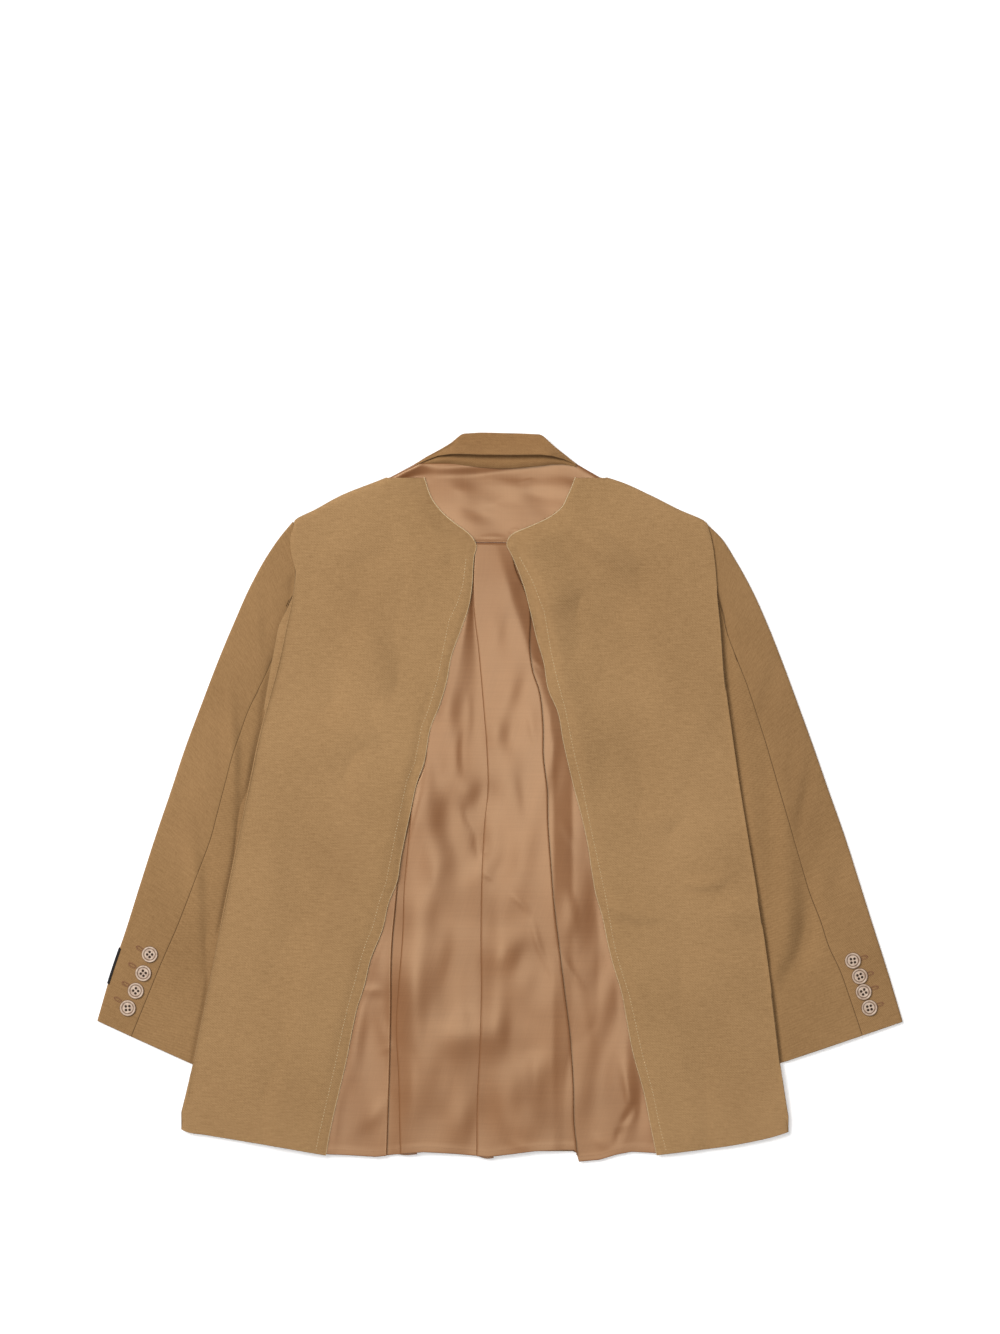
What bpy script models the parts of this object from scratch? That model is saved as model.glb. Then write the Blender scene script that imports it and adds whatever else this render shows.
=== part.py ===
"""An open-back blazer laid flat with its back up, as the separate pieces of cloth it is cut from.

The frame has +Z up, +Y towards the collar, -X on the wearer's left and its origin on the floor under
the middle of the garment. Tables are in millimetres. Each piece of cloth is a wall through a grid of
sections, and it rests on the pieces under it, so that the flat garment lies as a pile of thin layers.
"""

import math
from collections import namedtuple

import bmesh
import bpy
import numpy as np
from mathutils import Vector

MM = 0.001

# Cloth walls and the clearance between two pieces
WOOL = 1.5
SATIN = 1.0
GAP = 0.3

# Looks: base colour and roughness
FINISHES = {
    "wool": ((0.38, 0.22, 0.10), 0.85),
    "satin": ((0.45, 0.25, 0.13), 0.35),
    "button": ((0.66, 0.50, 0.37), 0.3),
    "label": ((0.02, 0.02, 0.02), 0.7),
}

# The body, a row for each section down the back: the raw edge at the centre back and the side edge
BodyRow = namedtuple("BodyRow", "y left_raw left_side right_raw right_side")
BODY = [
    BodyRow(352, -84, -122, 82, 112),
    BodyRow(344, -81, -146, 79, 139),
    BodyRow(334, -77, -171, 75, 162),
    BodyRow(318, -67, -201, 66, 193),
    BodyRow(303, -50, -227, 44, 223),
    BodyRow(290, -34, -227.3, 16, 228.5),
    BodyRow(280, -27, -227.5, 8, 230),
    BodyRow(264, -29, -227.9, 14, 232.3),
    BodyRow(244, -30, -228.4, 21, 235.2),
    BodyRow(222, -33, -228.9, 29, 238.4),
    BodyRow(206, -37, -231.5, 33, 241),
    BodyRow(188, -42, -234.5, 37, 242.7),
    BodyRow(164, -48, -240, 43, 244.6),
    BodyRow(139, -55, -246, 49, 247),
    BodyRow(110, -64, -253, 56, 250),
    BodyRow(80, -75, -260.5, 64, 254),
    BodyRow(48, -83, -269.5, 73, 258.7),
    BodyRow(12, -92, -275, 81, 263),
    BodyRow(-26, -100, -281.5, 91, 268),
    BodyRow(-64, -107, -288.5, 98, 274),
    BodyRow(-102, -116, -298.5, 105, 281.5),
    BodyRow(-142, -128, -308.5, 115, 289),
    BodyRow(-184, -143, -317, 124, 294.5),
    BodyRow(-226, -156, -324, 135, 300),
    BodyRow(-268, -165, -332.5, 144, 306),
    BodyRow(-310, -173, -341.5, 154, 310),
    BodyRow(-350, -183, -348, 164, 315),
]
HEM_AT_RAW_EDGE = {"left": (-191.5, -393), "right": (172, -393)}
HEM_AT_SIDE = {"left": (-351, -367), "right": (317.5, -368)}
ARMHOLE_FOOT = 222

# The side panel turns under the body's side edge and is narrow at the armpit
SidePanelRow = namedtuple("SidePanelRow", "y width")
SIDE_PANEL = [SidePanelRow(222, 9), SidePanelRow(110, 60), SidePanelRow(-393, 70)]
# What shows of the left one outside the back's edge
SliverRow = namedtuple("SliverRow", "y width")
ARMPIT_SLIVER = [SliverRow(222, 0.5), SliverRow(188, 9), SliverRow(142, 8), SliverRow(97, 3), SliverRow(80, 0.3)]

# The fronts lie face down: the roll line of the lapel, then the closing edge past the centre line
FRONT_NECK = (92, 364)
FRONT_BREAK = (-22, 6)
FRONT_TOP = 363
FRONT_TOP_WIDTH = 98
UNDER_HEM_INSET = 4

# The lapel, from the roll line outwards, and the collar's front end above it
LapelRow = namedtuple("LapelRow", "y width")
LAPEL = [
    LapelRow(299, 34),
    LapelRow(286, 82),
    LapelRow(262, 98),
    LapelRow(220, 88),
    LapelRow(170, 72),
    LapelRow(120, 55),
    LapelRow(70, 36),
    LapelRow(20, 10),
]
COLLAR_LEAF = [LapelRow(352, 24), LapelRow(340, 40), LapelRow(322, 46), LapelRow(302, 44)]

# A sleeve, a row for each section across it from its outer edge to its inner edge under the body.
# The upper layer's middle is edge_loft over the lower one's at the folded edges, and the bulge more
# than that halfway across.
SleeveRow = namedtuple("SleeveRow", "outer_x outer_y inner_x inner_y edge_loft bulge")
LEFT_SLEEVE = [
    SleeveRow(-227.5, 304, -229.4, 222, 4.6, 0),
    SleeveRow(-241, 288, -231, 209, 4.2, 0.5),
    SleeveRow(-255, 268, -230, 190, 3.7, 1.0),
    SleeveRow(-273, 236, -230, 157, 3.2, 1.5),
    SleeveRow(-292, 194, -240, 110, 3.2, 1.6),
    SleeveRow(-310, 151, -252, 63, 3.2, 1.6),
    SleeveRow(-328, 104, -262, 18, 3.2, 1.6),
    SleeveRow(-346, 56, -269, -28, 3.2, 1.6),
    SleeveRow(-363, 5, -278, -76, 3.2, 1.6),
    SleeveRow(-380, -45, -290, -122, 3.2, 1.6),
    SleeveRow(-396, -95, -301, -166, 3.2, 1.5),
    SleeveRow(-412, -146, -309, -212, 3.2, 1.4),
    SleeveRow(-429, -196, -318, -256, 3.2, 1.3),
    SleeveRow(-443.5, -246, -327, -299, 3.2, 1.2),
]
RIGHT_SLEEVE = [
    SleeveRow(227.4, 301, 239.5, 218, 4.6, 0),
    SleeveRow(243, 286, 241.5, 208, 4.2, 0.5),
    SleeveRow(258, 263, 241.5, 192, 3.7, 1.0),
    SleeveRow(276, 231, 238, 158, 3.2, 1.5),
    SleeveRow(295, 189, 239, 112, 3.2, 1.6),
    SleeveRow(312, 146, 244, 66, 3.2, 1.6),
    SleeveRow(329, 100, 249, 20, 3.2, 1.6),
    SleeveRow(345, 56, 253, -22, 3.2, 1.6),
    SleeveRow(362, 7, 260, -67, 3.2, 1.6),
    SleeveRow(379, -41, 269, -110, 3.2, 1.6),
    SleeveRow(395, -91, 277, -152, 3.2, 1.5),
    SleeveRow(411, -142, 283, -198, 3.2, 1.4),
    SleeveRow(427, -192, 289, -245, 3.2, 1.3),
    SleeveRow(443.5, -247, 296, -297, 3.2, 1.2),
]
# The seam down the back of each sleeve, from the armhole to the cuff
SeamPoint = namedtuple("SeamPoint", "x y")
LEFT_BACK_SEAM = [
    SeamPoint(-229.3, 229),
    SeamPoint(-246, 165),
    SeamPoint(-258, 135),
    SeamPoint(-278, 94),
    SeamPoint(-294, 47),
    SeamPoint(-306, 2),
    SeamPoint(-318, -45),
    SeamPoint(-338, -98),
    SeamPoint(-355, -142),
    SeamPoint(-372, -180),
    SeamPoint(-391, -227),
    SeamPoint(-408, -268),
]
RIGHT_BACK_SEAM = [
    SeamPoint(237.5, 230),
    SeamPoint(245, 203),
    SeamPoint(252, 175),
    SeamPoint(272, 124),
    SeamPoint(293, 59),
    SeamPoint(309, 3),
    SeamPoint(330, -69),
    SeamPoint(341, -106),
    SeamPoint(354, -138),
    SeamPoint(361, -163),
    SeamPoint(375, -191),
    SeamPoint(399, -262),
]
FRONT_SEAM_SHARE = 0.86
MOST_SEAM_SHARE = 0.9
# Sections cross the seams at a slant, so the clearance along a section is wider
SLANTED_GAP = 0.45
SLEEVE_OVERLAP = 22

# Drag folds on the upper layer of the sleeves, from one end to the other, as soft ridges or troughs
Fold = namedtuple("Fold", "x0 y0 x1 y1 width height")
SLEEVE_FOLDS = [
    Fold(-290, 41, -296, -59, 13, -1.2),
    Fold(-300, 120, -322, 20, 16, 0.9),
    Fold(-352, -60, -378, -140, 16, 0.8),
    Fold(329, -110, 312, -195, 12, 1.1),
    Fold(300, 60, 322, -30, 16, 0.8),
    Fold(380, -120, 398, -190, 15, 0.8),
]

# The satin yoke, a row for each section: its left and right ends
YokeRow = namedtuple("YokeRow", "y left right")
YOKE = [
    YokeRow(367, -93, 84),
    YokeRow(360, -106, 96),
    YokeRow(352, -121, 110),
    YokeRow(344, -143, 136),
    YokeRow(334, -160, 152),
    YokeRow(308, -160, 152),
    YokeRow(280.3, -160, 152),
]

# The pleated satin panel: its edges, the two folds of the inverted pleat and the two of the box pleat
PleatRow = namedtuple("PleatRow", "y left valley_left valley_right box_left box_right right")
PLEATS = [
    PleatRow(280, -82, -61, -48, -25, 10, 62),
    PleatRow(250, -84, -64, -51, -28, 17, 66),
    PleatRow(206, -93, -71, -55, -29, 24, 74),
    PleatRow(158, -105, -81, -65, -23, 32, 86),
    PleatRow(108, -118, -94, -77, -19, 42, 98),
    PleatRow(56, -132, -103, -81, -15, 49, 112),
    PleatRow(3, -146, -111, -96, -15.5, 52, 125),
    PleatRow(-57, -158, -114, -102, -17, 55, 137),
    PleatRow(-117, -172, -116, -106, -19.5, 59, 150),
    PleatRow(-178, -190, -120, -109, -21.5, 66, 164),
    PleatRow(-240, -208, -122, -113, -22, 72, 178),
    PleatRow(-300, -222, -124, -112, -23, 78, 190),
    PleatRow(-350, -233, -125, -111, -25, 82, 200),
    PleatRow(-393, -242, -127, -110, -26, 85, 206),
]
PLEAT_UNDERLAY = 8
PLEAT_RISE = 1.45
# The lowest that the lining and the backs lie, over the hollow between them and the fronts
LINING_FLOOR = 2.6
BACK_FLOOR = 4.6
HemPoint = namedtuple("HemPoint", "x y")
LINING_HEM = [
    HemPoint(-242, -381),
    HemPoint(-180, -391),
    HemPoint(-136, -395),
    HemPoint(-84, -390),
    HemPoint(-13, -395),
    HemPoint(40, -389),
    HemPoint(80, -388),
    HemPoint(92, -401),
    HemPoint(125, -394),
    HemPoint(172, -391),
    HemPoint(206, -385),
]

# The collar at the back neck, a row for each section: its fold, the fall's edge and the stand's edge
CollarRow = namedtuple("CollarRow", "x fold fall stand")
COLLAR = [
    CollarRow(-81, 374.5, 370.5, 368.5),
    CollarRow(-68, 381, 376, 368),
    CollarRow(-54, 389, 377, 367),
    CollarRow(-42, 400, 377, 365.5),
    CollarRow(-21, 401.5, 376, 363),
    CollarRow(0, 401, 376, 362.5),
    CollarRow(22, 400.5, 376, 363.5),
    CollarRow(46, 399, 376, 366),
    CollarRow(58, 386, 374, 367.5),
    CollarRow(70, 377, 371.5, 368),
    CollarRow(79, 370.5, 368, 366.5),
]
COLLAR_TURN = 6
COLLAR_LIFT = 4

# Buttons: a turned disc with a rim, a sunk middle and four holes
ButtonSize = namedtuple("ButtonSize", "diameter thickness hole spacing")
CUFF_BUTTON = ButtonSize(18, 2.6, 1.9, 3.4)
FRONT_BUTTON = ButtonSize(23, 2.6, 2.2, 4.2)
ButtonPlace = namedtuple("ButtonPlace", "x y")
LEFT_CUFF_BUTTONS = [
    ButtonPlace(-385, -173),
    ButtonPlace(-392.5, -193),
    ButtonPlace(-400.5, -212.5),
    ButtonPlace(-409, -232),
]
RIGHT_CUFF_BUTTONS = [
    ButtonPlace(388, -179),
    ButtonPlace(395, -196.8),
    ButtonPlace(400, -214),
    ButtonPlace(406, -231.5),
]
FRONT_BUTTONS = [ButtonPlace(0, -6), ButtonPlace(0, -116)]

# The bare label along the left sleeve's outer edge, on the stretch between two of its rows
LABEL_ROWS = (11, 12)
LABEL_SHARES = (0.2, 0.6, 1)
LABEL_THICKNESS = 0.6
LABEL_HEIGHT = 3.2
LABEL_FOOT = 0.8


def clear_scene():
    for item in list(bpy.data.objects):
        bpy.data.objects.remove(item)


def make_collection(name, hidden=False):
    made = bpy.data.collections.new(name)
    made.hide_render = hidden
    bpy.context.scene.collection.children.link(made)
    return made


def finish_with(item, finish):
    """Gives an object its own material."""
    colour, roughness = FINISHES[finish]
    made = bpy.data.materials.new(item.name)
    made.use_nodes = True
    shader = made.node_tree.nodes["Principled BSDF"]
    shader.inputs["Base Color"].default_value = (*colour, 1)
    shader.inputs["Roughness"].default_value = roughness
    shader.inputs["Metallic"].default_value = 0
    item.data.materials.append(made)


def smooth_step(value):
    """0 before 0, 1 after 1, and an S curve between."""
    held = np.clip(value, 0, 1)
    return held * held * (3 - 2 * held)


def column(table, name):
    return np.array([getattr(row, name) for row in table], float)


def read_rows(table, key, wanted, at):
    """The wanted column of a table at a value of its key column, in between its rows."""
    keys = column(table, key)
    values = column(table, wanted)
    order = np.argsort(keys)
    return np.interp(at, keys[order], values[order])


class Pile:
    """How high each piece reaches, over square cells, so that the next one can rest on it."""

    cell = 3.0
    half_width = 480.0
    half_length = 440.0
    blur = 8.0

    def __init__(self):
        self.across = int(2 * self.half_width / self.cell)
        self.along = int(2 * self.half_length / self.cell)
        self.tops = {}

    def lay(self, name, grid, thickness):
        """Notes the top of a wall through this grid of points."""
        top = np.zeros((self.along, self.across))
        steps = 12
        share = np.linspace(0, 1, steps)
        for near, far in zip(grid[:-1], grid[1:]):
            for part in share:
                line = near + (far - near) * part
                for a, b in zip(line[:-1], line[1:]):
                    points = a + (b - a) * share[:, None]
                    rows, columns = self.cells(points[:, 0], points[:, 1])
                    np.maximum.at(top, (rows, columns), points[:, 2] + thickness / 2)
        self.tops[name] = top

    def cells(self, x, y):
        rows = np.clip((np.asarray(y) + self.half_length) / self.cell, 0, self.along - 1)
        columns = np.clip((np.asarray(x) + self.half_width) / self.cell, 0, self.across - 1)
        return rows.astype(int), columns.astype(int)

    def widened(self, field, reach, axis, combine):
        count = int(math.ceil(reach / self.cell))
        return combine([np.roll(field, shift, axis) for shift in range(-count, count + 1)])

    def rest(self, names, reach):
        """A function of x and y that clears the named pieces, for a grid whose cells are this wide and long."""
        field = np.zeros((self.along, self.across))
        for name in names:
            field = np.maximum(field, self.tops[name])
        for axis, size in ((1, reach[0]), (0, reach[1])):
            field = self.widened(field, size + self.blur, axis, np.maximum.reduce)
        for axis in (1, 0):
            field = self.widened(field, self.blur, axis, lambda many: np.mean(many, axis=0))

        def height(x, y):
            found = field[self.cells(x, y)]
            return np.where(found > 0.2, found + GAP, 0)

        return height


def even(start, end, count):
    return np.linspace(start, end, count)


def half_turn(edge, start, end, towards):
    """Points of a fold seen from its end, from height start to height end, with its outside at the edge."""
    radius = (end - start) / 2
    turns = np.radians([-90, -30, 30, 90])
    along = edge + towards * abs(radius) * (np.cos(turns) - 1)
    up = (start + end) / 2 + radius * np.sin(turns)
    return list(zip(along, up))


def make_cloth(collection, name, grid, thickness, finish):
    """A wall of even thickness through a grid of points, sections by columns, in millimetres."""
    sections, columns = grid.shape[:2]
    sheet = bmesh.new()
    bmesh.ops.create_grid(sheet, x_segments=columns - 1, y_segments=sections - 1, size=0.5)
    for vert in sheet.verts:
        place = round((vert.co.x + 0.5) * (columns - 1))
        section = round((vert.co.y + 0.5) * (sections - 1))
        vert.co = Vector(grid[section, place]) * MM
    mesh = bpy.data.meshes.new(name)
    sheet.to_mesh(mesh)
    sheet.free()
    mesh.shade_smooth()
    item = bpy.data.objects.new(name, mesh)
    collection.objects.link(item)
    wall = item.modifiers.new("wall", "SOLIDIFY")
    wall.thickness = thickness * MM
    wall.offset = 0
    finish_with(item, finish)
    return item


def panel_grid(ends, columns):
    """A plan grid between pairs of end points, a section for each pair."""
    share = np.linspace(0, 1, columns)[:, None]
    rows = [np.array(first) + (np.array(last) - np.array(first)) * share for first, last in ends]
    return np.array(rows, float)


def raised(plan, height, thickness, least=0.0):
    """A plan grid with its mid-surface half a wall above the height function, or above the least height."""
    x = plan[..., 0]
    y = plan[..., 1]
    z = np.maximum(height(x, y), least) + thickness / 2
    return np.dstack([x, y, z])


def side_of(side):
    return -1 if side == "left" else 1


def fold_height(x, y):
    """The drag folds at a point of a sleeve."""
    total = np.zeros_like(x)
    for fold in SLEEVE_FOLDS:
        run = np.array([fold.x1 - fold.x0, fold.y1 - fold.y0], float)
        length = np.hypot(*run)
        ahead = ((x - fold.x0) * run[0] + (y - fold.y0) * run[1]) / length
        aside = ((x - fold.x0) * run[1] - (y - fold.y0) * run[0]) / length
        taper = smooth_step(ahead / 30 + 0.5) * smooth_step((length - ahead) / 30 + 0.5)
        total = total + fold.height * taper * np.exp(-((aside / fold.width) ** 2))
    return total


# Sleeves


def sleeve_section(row, shares, lower):
    """Points of one layer of a sleeve's section at shares of the way from its outer to its inner edge."""
    outer = np.array([row.outer_x, row.outer_y])
    inner = np.array([row.inner_x, row.inner_y])
    points = outer + (inner - outer) * np.asarray(shares)[:, None]
    floor = WOOL / 2
    if lower:
        return np.column_stack([points, np.full(len(points), floor)])
    loft = row.edge_loft + row.bulge * np.sin(np.pi * np.clip(shares, 0, 1))
    folds = fold_height(points[:, 0], points[:, 1]) if row.bulge else 0
    return np.column_stack([points, floor + loft + folds])


def sleeve_roll(row, at_outer):
    """Points of the folded edge, from the upper layer to the lower one."""
    outer = np.array([row.outer_x, row.outer_y])
    inner = np.array([row.inner_x, row.inner_y])
    width = np.hypot(*(inner - outer))
    across = (inner - outer) / width
    radius = row.edge_loft / 2
    start = outer if at_outer else inner
    way = across if at_outer else -across
    turns = np.radians([90, 45, 0, -45, -90])
    points = []
    for turn in turns:
        plan = start + way * (WOOL / 2 + radius - radius * math.cos(turn))
        points.append([*plan, WOOL / 2 + radius + radius * math.sin(turn)])
    return np.array(points), (WOOL / 2 + radius) / width


def seam_share(row, seam):
    """How far across its section the back seam crosses it, from the outer edge."""
    shares = np.linspace(0.1, MOST_SEAM_SHARE, 400)
    outer = np.array([row.outer_x, row.outer_y])
    inner = np.array([row.inner_x, row.inner_y])
    points = outer + (inner - outer) * shares[:, None]
    line = np.array(seam, float)
    nearest = np.full(len(points), np.inf)
    for first, last in zip(line[:-1], line[1:]):
        run = last - first
        along = np.clip((points - first) @ run / (run @ run), 0, 1)
        away = np.hypot(*(points - first - along[:, None] * run).T)
        nearest = np.minimum(nearest, away)
    return float(shares[nearest.argmin()])


def top_sleeve_grid(rows, seam):
    sections = []
    for row in rows:
        roll, edge = sleeve_roll(row, True)
        upper = sleeve_section(row, even(seam_share(row, seam), edge, 7)[:-1], False)
        lower = sleeve_section(row, even(edge, FRONT_SEAM_SHARE, 7)[1:], True)
        sections.append(np.vstack([upper, roll, lower]))
    return np.array(sections)


def under_sleeve_grid(rows, seam):
    sections = []
    for row in rows:
        width = math.hypot(row.outer_x - row.inner_x, row.outer_y - row.inner_y)
        roll, edge = sleeve_roll(row, False)
        gap = SLANTED_GAP / width
        upper = sleeve_section(row, even(seam_share(row, seam) + gap, 1 - edge, 7)[:-1], False)
        lower = sleeve_section(row, even(1 - edge, FRONT_SEAM_SHARE + gap, 3)[1:], True)
        sections.append(np.vstack([upper, roll, lower]))
    return np.array(sections)


def make_sleeve(blazer, pile, side, rows, seam):
    top = top_sleeve_grid(rows, seam)
    under = under_sleeve_grid(rows, seam)
    make_cloth(blazer, f"top_sleeve_{side}", top, WOOL, "wool")
    make_cloth(blazer, f"under_sleeve_{side}", under, WOOL, "wool")
    # Only the strip that the body lies on counts as being under it
    strip = []
    for row in rows[1:]:
        width = math.hypot(row.outer_x - row.inner_x, row.outer_y - row.inner_y)
        strip.append(sleeve_section(row, even(1 - SLEEVE_OVERLAP / width, 1, 4), False))
    pile.lay(f"sleeve_{side}", np.array(strip), WOOL)
    pile.lay(f"cuff_{side}", np.concatenate([top[-6:], top[-1:]]), WOOL)


# Fronts, lapels and the collar's front ends, on the underside


def roll_line(side, y):
    """The front's inner edge: the lapel's roll line above the break, and the closing edge below it."""
    neck_x, neck_y = FRONT_NECK
    break_x, break_y = FRONT_BREAK
    return side_of(side) * np.interp(y, [break_y, neck_y], [break_x, neck_x])


def make_turned_piece(blazer, pile, name, side, rows, under):
    """A lapel or a collar end, which lies under its front and starts at the roll line."""
    ends = []
    for row in rows:
        inner = roll_line(side, row.y)
        ends.append(((inner, row.y), (inner + side_of(side) * row.width, row.y)))
    plan = panel_grid(ends, 5)
    grid = raised(plan, pile.rest(under, (25, 40)), WOOL)
    make_cloth(blazer, name, grid, WOOL, "wool")
    pile.lay(name, grid, WOOL)


def body_rows(side):
    """The y, raw edge and side edge of each section of one half of the body."""
    return [(row.y, getattr(row, f"{side}_raw"), getattr(row, f"{side}_side")) for row in BODY]


def under_hem(side, x):
    """The hem of a front or side panel, a little inside the back's hem."""
    raw_x, raw_y = HEM_AT_RAW_EDGE[side]
    side_x, side_y = HEM_AT_SIDE[side]
    return UNDER_HEM_INSET + np.interp(abs(x), [abs(raw_x), abs(side_x)], [raw_y, side_y])


def make_front(blazer, pile, side, under):
    sign = side_of(side)
    ends = [((roll_line(side, FRONT_TOP), FRONT_TOP), (sign * FRONT_TOP_WIDTH, FRONT_TOP))]
    for y, _, edge in body_rows(side):
        outer = edge
        if y <= ARMHOLE_FOOT:
            outer = edge - sign * (read_rows(SIDE_PANEL, "y", "width", y) + GAP)
        ends.append(((roll_line(side, y), y), (outer, y)))
    hem_x, hem_y = HEM_AT_SIDE[side]
    inner = roll_line(side, hem_y)
    outer = hem_x - sign * (read_rows(SIDE_PANEL, "y", "width", hem_y) + GAP)
    ends.append(((inner, under_hem(side, inner)), (outer, under_hem(side, outer))))
    grid = raised(panel_grid(ends, 9), pile.rest(under, (36, 42)), WOOL)
    make_cloth(blazer, f"front_{side}", grid, WOOL, "wool")
    pile.lay(f"front_{side}", grid, WOOL)


def make_side_panel(blazer, pile, side):
    sign = side_of(side)
    sliver_foot = ARMPIT_SLIVER[-1].y
    ends = []
    for y, _, edge in body_rows(side):
        if y > ARMHOLE_FOOT:
            continue
        shows = side == "left" and y >= sliver_foot
        outside = read_rows(ARMPIT_SLIVER, "y", "width", y) if shows else 0
        inner = edge - sign * read_rows(SIDE_PANEL, "y", "width", y)
        ends.append(((inner, y), (edge + sign * outside, y)))
    outer, hem_y = HEM_AT_SIDE[side]
    inner = outer - sign * read_rows(SIDE_PANEL, "y", "width", hem_y)
    ends.append(((inner, under_hem(side, inner)), (outer, under_hem(side, outer))))
    grid = raised(panel_grid(ends, 5), pile.rest([f"sleeve_{side}"], (20, 42)), WOOL)
    make_cloth(blazer, f"side_panel_{side}", grid, WOOL, "wool")
    pile.lay(f"side_panel_{side}", grid, WOOL)


# Lining


def make_yoke(blazer, pile):
    ends = [((row.left, row.y), (row.right, row.y)) for row in YOKE]
    plan = panel_grid(ends, 15)
    grid = raised(plan, pile.rest(["front_left", "front_right"], (24, 28)), SATIN, LINING_FLOOR)
    make_cloth(blazer, "lining_yoke", grid, SATIN, "satin")
    pile.lay("lining_yoke", grid, SATIN)


def pleat_section(row):
    """Places across the panel and heights over its base, through both pleats."""
    low = 0.0
    middle = PLEAT_RISE
    high = 2 * PLEAT_RISE
    under = PLEAT_UNDERLAY
    points = [(row.left, high), ((row.left + row.valley_left) / 2, high)]
    # The inverted pleat: under at its left fold, along its valley, and out at its right fold
    points += half_turn(row.valley_left, high, middle, 1)
    points += half_turn(row.valley_left - under, middle, low, -1)
    points += half_turn(row.valley_right + under, low, middle, 1)
    points += half_turn(row.valley_right, middle, high, -1)
    # Down to the box pleat, which lies over this stretch
    start = row.valley_right + under + 1.5
    end = row.box_left - 1.5
    for share in (0.05, 0.5, 0.95):
        points.append((start + (end - start) * share, high * (1 - float(smooth_step(share)))))
    points += half_turn(row.box_left + under, low, middle, 1)
    points += half_turn(row.box_left, middle, high, -1)
    for share in (0.35, 0.65):
        points.append((row.box_left + (row.box_right - row.box_left) * share, high + 0.3))
    points += half_turn(row.box_right, high, middle, 1)
    points += half_turn(row.box_right - under, middle, low, -1)
    for share in (0.4, 0.7, 1):
        points.append((row.box_right + (row.right - row.box_right) * share, low))
    return points


def make_pleated_panel(blazer, pile):
    height = pile.rest(["front_left", "front_right"], (34, 62))
    sections = []
    for row in PLEATS:
        points = np.array(pleat_section(row))
        x = points[:, 0]
        y = np.full(len(x), float(row.y))
        if row is PLEATS[-1]:
            y = read_rows(LINING_HEM, "x", "y", x)
        z = np.maximum(height(x, y), LINING_FLOOR) + SATIN / 2 + points[:, 1]
        sections.append(np.column_stack([x, y, z]))
    grid = np.array(sections)
    make_cloth(blazer, "lining_pleated_panel", grid, SATIN, "satin")
    pile.lay("lining_pleated_panel", grid, SATIN)


# Backs and collar


def make_back(blazer, pile, side):
    ends = [((raw, y), (edge, y)) for y, raw, edge in body_rows(side)]
    ends.append((HEM_AT_RAW_EDGE[side], HEM_AT_SIDE[side]))
    under = ["lining_yoke", "lining_pleated_panel", f"front_{side}", f"side_panel_{side}"]
    grid = raised(panel_grid(ends, 11), pile.rest(under, (26, 42)), WOOL, BACK_FLOOR)
    make_cloth(blazer, f"back_{side}", grid, WOOL, "wool")


def collar_lift(y):
    """The collar stands up a little towards its fold."""
    return COLLAR_LIFT * smooth_step((np.asarray(y) - 365) / 36)


def make_collar(blazer, pile):
    height = pile.rest(["lining_yoke", "front_left", "front_right"], (24, 20))
    stand = []
    fall = []
    spacing = WOOL + GAP
    for row in COLLAR:
        turn = min(COLLAR_TURN, 0.55 * (row.fold - row.fall))
        base = float(height(row.x, row.stand)) + WOOL / 2
        top = row.fold - WOOL / 2
        low = np.linspace(row.stand, top - turn - GAP, 4)
        stand.append([(row.x, y, base + float(collar_lift(y))) for y in low])
        section = [(top - turn, base)]
        section += half_turn(top, base, base + spacing, 1)
        section += [(y, base + spacing) for y in np.linspace(top - turn, row.fall, 4)[1:]]
        fall.append([(row.x, y, z + float(collar_lift(y))) for y, z in section])
    make_cloth(blazer, "collar_stand", np.array(stand), WOOL, "wool")
    make_cloth(blazer, "collar_fall", np.array(fall), WOOL, "wool")


# Buttons and label


def button_profile(size):
    """Radius and height from the rim's outer foot over the rim into the sunk middle, for a turned disc."""
    radius = size.diameter / 2
    high = size.thickness
    return [
        (0, high - 0.7),
        (radius - 3.2, high - 0.7),
        (radius - 2, high),
        (radius - 0.8, high),
        (radius, high - 0.8),
        (radius - 1, 0),
        (0, 0),
    ]


def button_mesh(name, size, turns=14):
    """The disc as one closed mesh, spun about Z from its profile."""
    disc = bmesh.new()
    points = [disc.verts.new((r * MM, 0, h * MM)) for r, h in button_profile(size)]
    edges = [disc.edges.new(pair) for pair in zip(points[:-1], points[1:])]
    bmesh.ops.spin(
        disc,
        geom=points + edges,
        cent=(0, 0, 0),
        axis=(0, 0, 1),
        angle=2 * math.pi,
        steps=turns,
        use_merge=True,
    )
    bmesh.ops.remove_doubles(disc, verts=disc.verts, dist=0.00001)
    bmesh.ops.recalc_face_normals(disc, faces=disc.faces)
    mesh = bpy.data.meshes.new(name)
    disc.to_mesh(mesh)
    disc.free()
    return mesh


def hole_cutter(cutters, name, size):
    """Four pegs, longer than the disc is thick."""
    pegs = bmesh.new()
    for number in range(4):
        turn = math.pi / 4 + number * math.pi / 2
        made = bmesh.ops.create_cone(
            pegs,
            cap_ends=True,
            segments=6,
            radius1=size.hole / 2 * MM,
            radius2=size.hole / 2 * MM,
            depth=4 * size.thickness * MM,
        )
        reach = size.spacing / math.sqrt(2)
        shift = Vector((math.cos(turn), math.sin(turn), 0)) * reach * MM
        bmesh.ops.translate(pegs, verts=made["verts"], vec=shift)
    mesh = bpy.data.meshes.new(name)
    pegs.to_mesh(mesh)
    pegs.free()
    cutter = bpy.data.objects.new(name, mesh)
    cutter.hide_render = True
    cutter.display_type = "WIRE"
    cutters.objects.link(cutter)
    return cutter


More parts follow.
